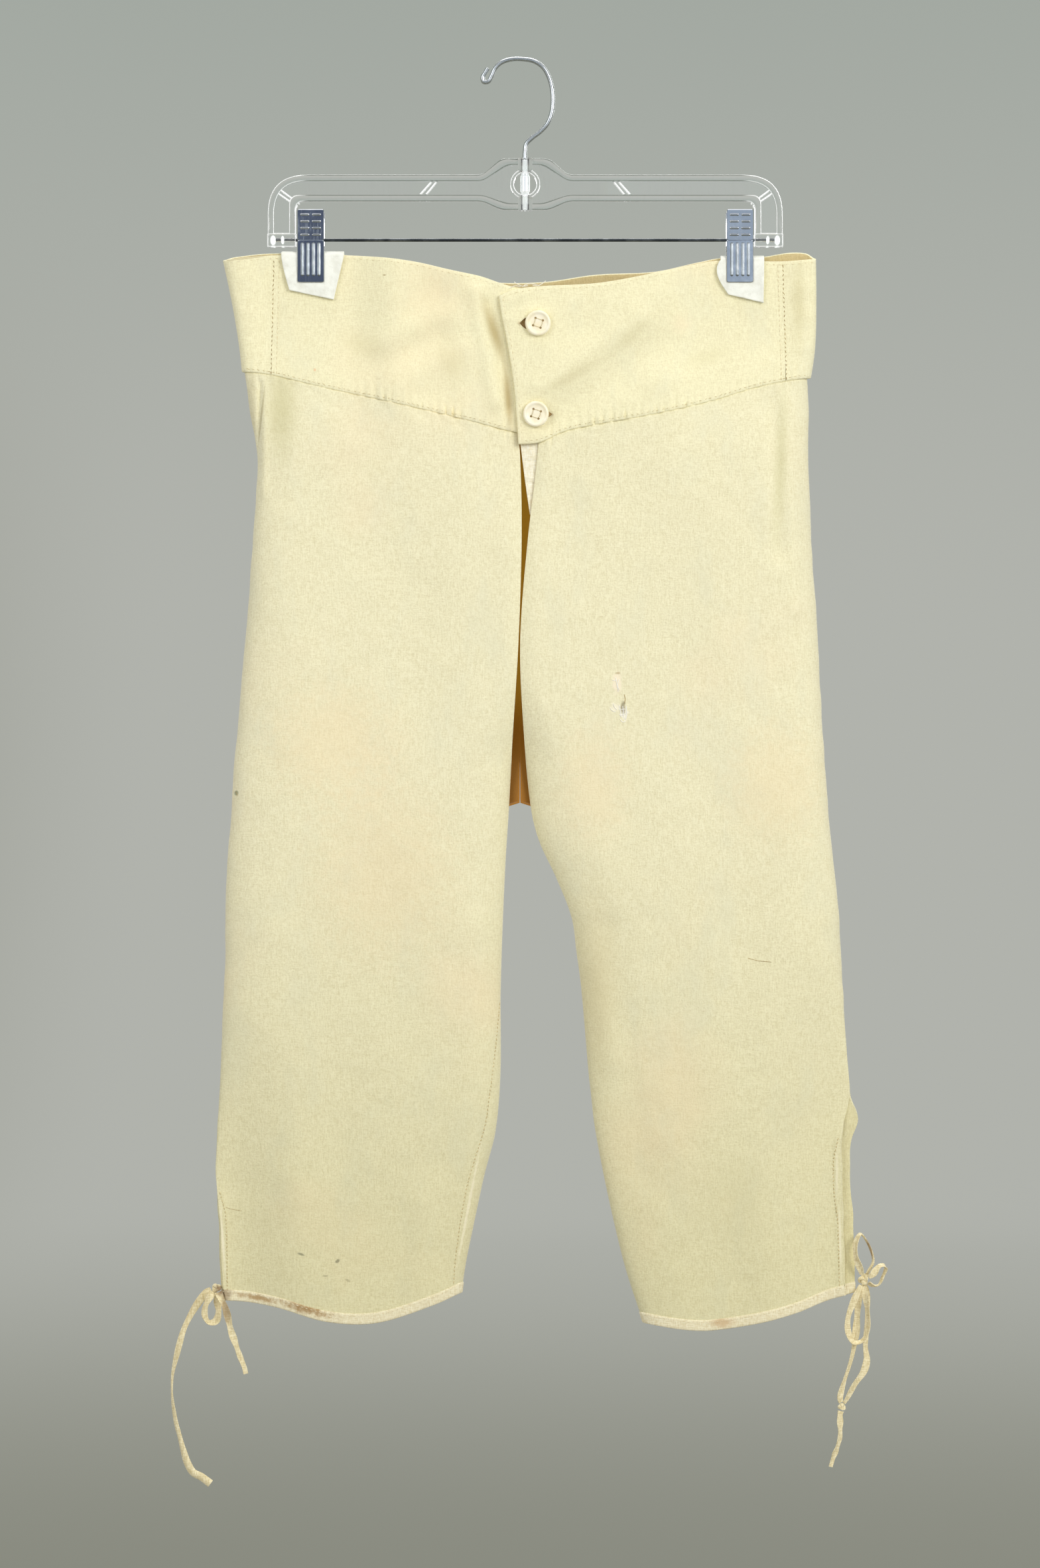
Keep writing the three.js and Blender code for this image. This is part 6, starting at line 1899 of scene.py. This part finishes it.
def studioMaterial():
    # a seamless pale sweep, with painted shade a little darker near the middle of the floor and high up
    material, g = newMaterial("studio paper")
    place = g.node("ShaderNodeSeparateXYZ", {}, {0: g.coordinates()}, "X")
    y, z = place.output("Y"), place.output("Z")
    reach = (place * place + y * y) ** 0.5
    outwards = g.between(reach, 1.2, 5.6)
    colour = g.mix(outwards, rgb(*studio["near"]), rgb(*studio["far"]))
    colour = g.mix(g.between(z, -0.2, 1.9), colour, rgb(*studio["high"]))
    # painted shade towards the far left
    aside = g.between(place, -0.75, -1.6) * g.between(z, 1.2, -0.6) * 0.75
    colour = g.mix(aside, colour, rgb(*studio["aside"]))
    surface(g, {
        "Base Color": (0.05, 0.05, 0.05, 1), "Roughness": 1.0, "Specular IOR Level": 0.0,
        "Emission Color": colour, "Emission Strength": 0.9,
    })
    return material


profile = [(0.001, 0)] + [(studio["radius"] * s, 0) for s in (0.25, 0.5, 0.75)]
profile += [(studio["radius"] + studio["cove"] * sin(a), studio["cove"] * (1 - cos(a)))
            for a in np.linspace(0, pi / 2, 14)]
profile.append((studio["radius"] + studio["cove"], studio["wall"]))
sides = studio["sides"]
points = [(r * cos(t), r * sin(t), studio["floor"] + h) for r, h in profile for t in turns(sides)]
backdrop = newMesh("studio_sweep", points, ringFaces(len(profile), sides), [studioMaterial()])
backdrop.visible_diffuse = False
backdrop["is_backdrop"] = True

# Cards behind the camera that only the plated metal sees.
cardDistance = 4300
cards = {
    "dark card": {"from": -1500, "to": 130, "low": -440, "high": 1300, "shine": 1.0,
                  "colour": (0.065, 0.08, 0.115, 1)},
    "side card": {"from": 140, "to": 1500, "low": -440, "high": 1300, "shine": 1.0,
                  "colour": (0.27, 0.32, 0.38, 1)},
    "pale card": {"from": -1500, "to": 1500, "low": -1240, "high": -500, "shine": 0.2,
                  "colour": (0.8, 0.9, 1.0, 1)},
}
for name, c in cards.items():
    material, g = newMaterial(name)
    surface(g, {"Base Color": c["colour"], "Roughness": 1.0, "Specular IOR Level": 0.0,
                "Emission Color": c["colour"], "Emission Strength": c["shine"]})
    places = ((c["from"], c["low"]), (c["to"], c["low"]), (c["to"], c["high"]), (c["from"], c["high"]))
    corners = [(x, -cardDistance, z) for x, z in places]
    card = newMesh(name, corners, [(0, 1, 2, 3)], [material])
    for seen in ("camera", "diffuse", "transmission", "shadow"):
        setattr(card, "visible_" + seen, False)
    card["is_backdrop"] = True

lights = {
    "key left": {"at": (-2.5, -3.3, 1.1), "size": 2.2, "power": 50},
    "key right": {"at": (2.6, -3.2, 1.0), "size": 2.2, "power": 100},
    "top": {"at": (0.0, 0.3, 2.6), "size": 2.4, "power": 40},
    "back": {"at": (0.6, 3.4, 1.2), "size": 2.4, "power": 80},
}
for name, f in lights.items():
    light = bpy.data.objects.new(name, bpy.data.lights.new(name, "AREA"))
    light.data.size = f["size"]
    light.data.energy = f["power"]
    light.location = f["at"]
    towards = Vector((0, 0, viewpoint["z"] * mm)) - Vector(f["at"])
    light.rotation_euler = towards.to_track_quat("-Z", "Y").to_euler()
    light.visible_camera = False
    light.visible_transmission = False
    bpy.context.scene.collection.objects.link(light)
world = bpy.data.worlds.new("studio air")
world.use_nodes = True
world.node_tree.nodes["Background"].inputs["Color"].default_value = (1.0, 1.0, 1.0, 1)
world.node_tree.nodes["Background"].inputs["Strength"].default_value = 0.45
bpy.context.scene.world = world
print("studio made")

low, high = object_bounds()
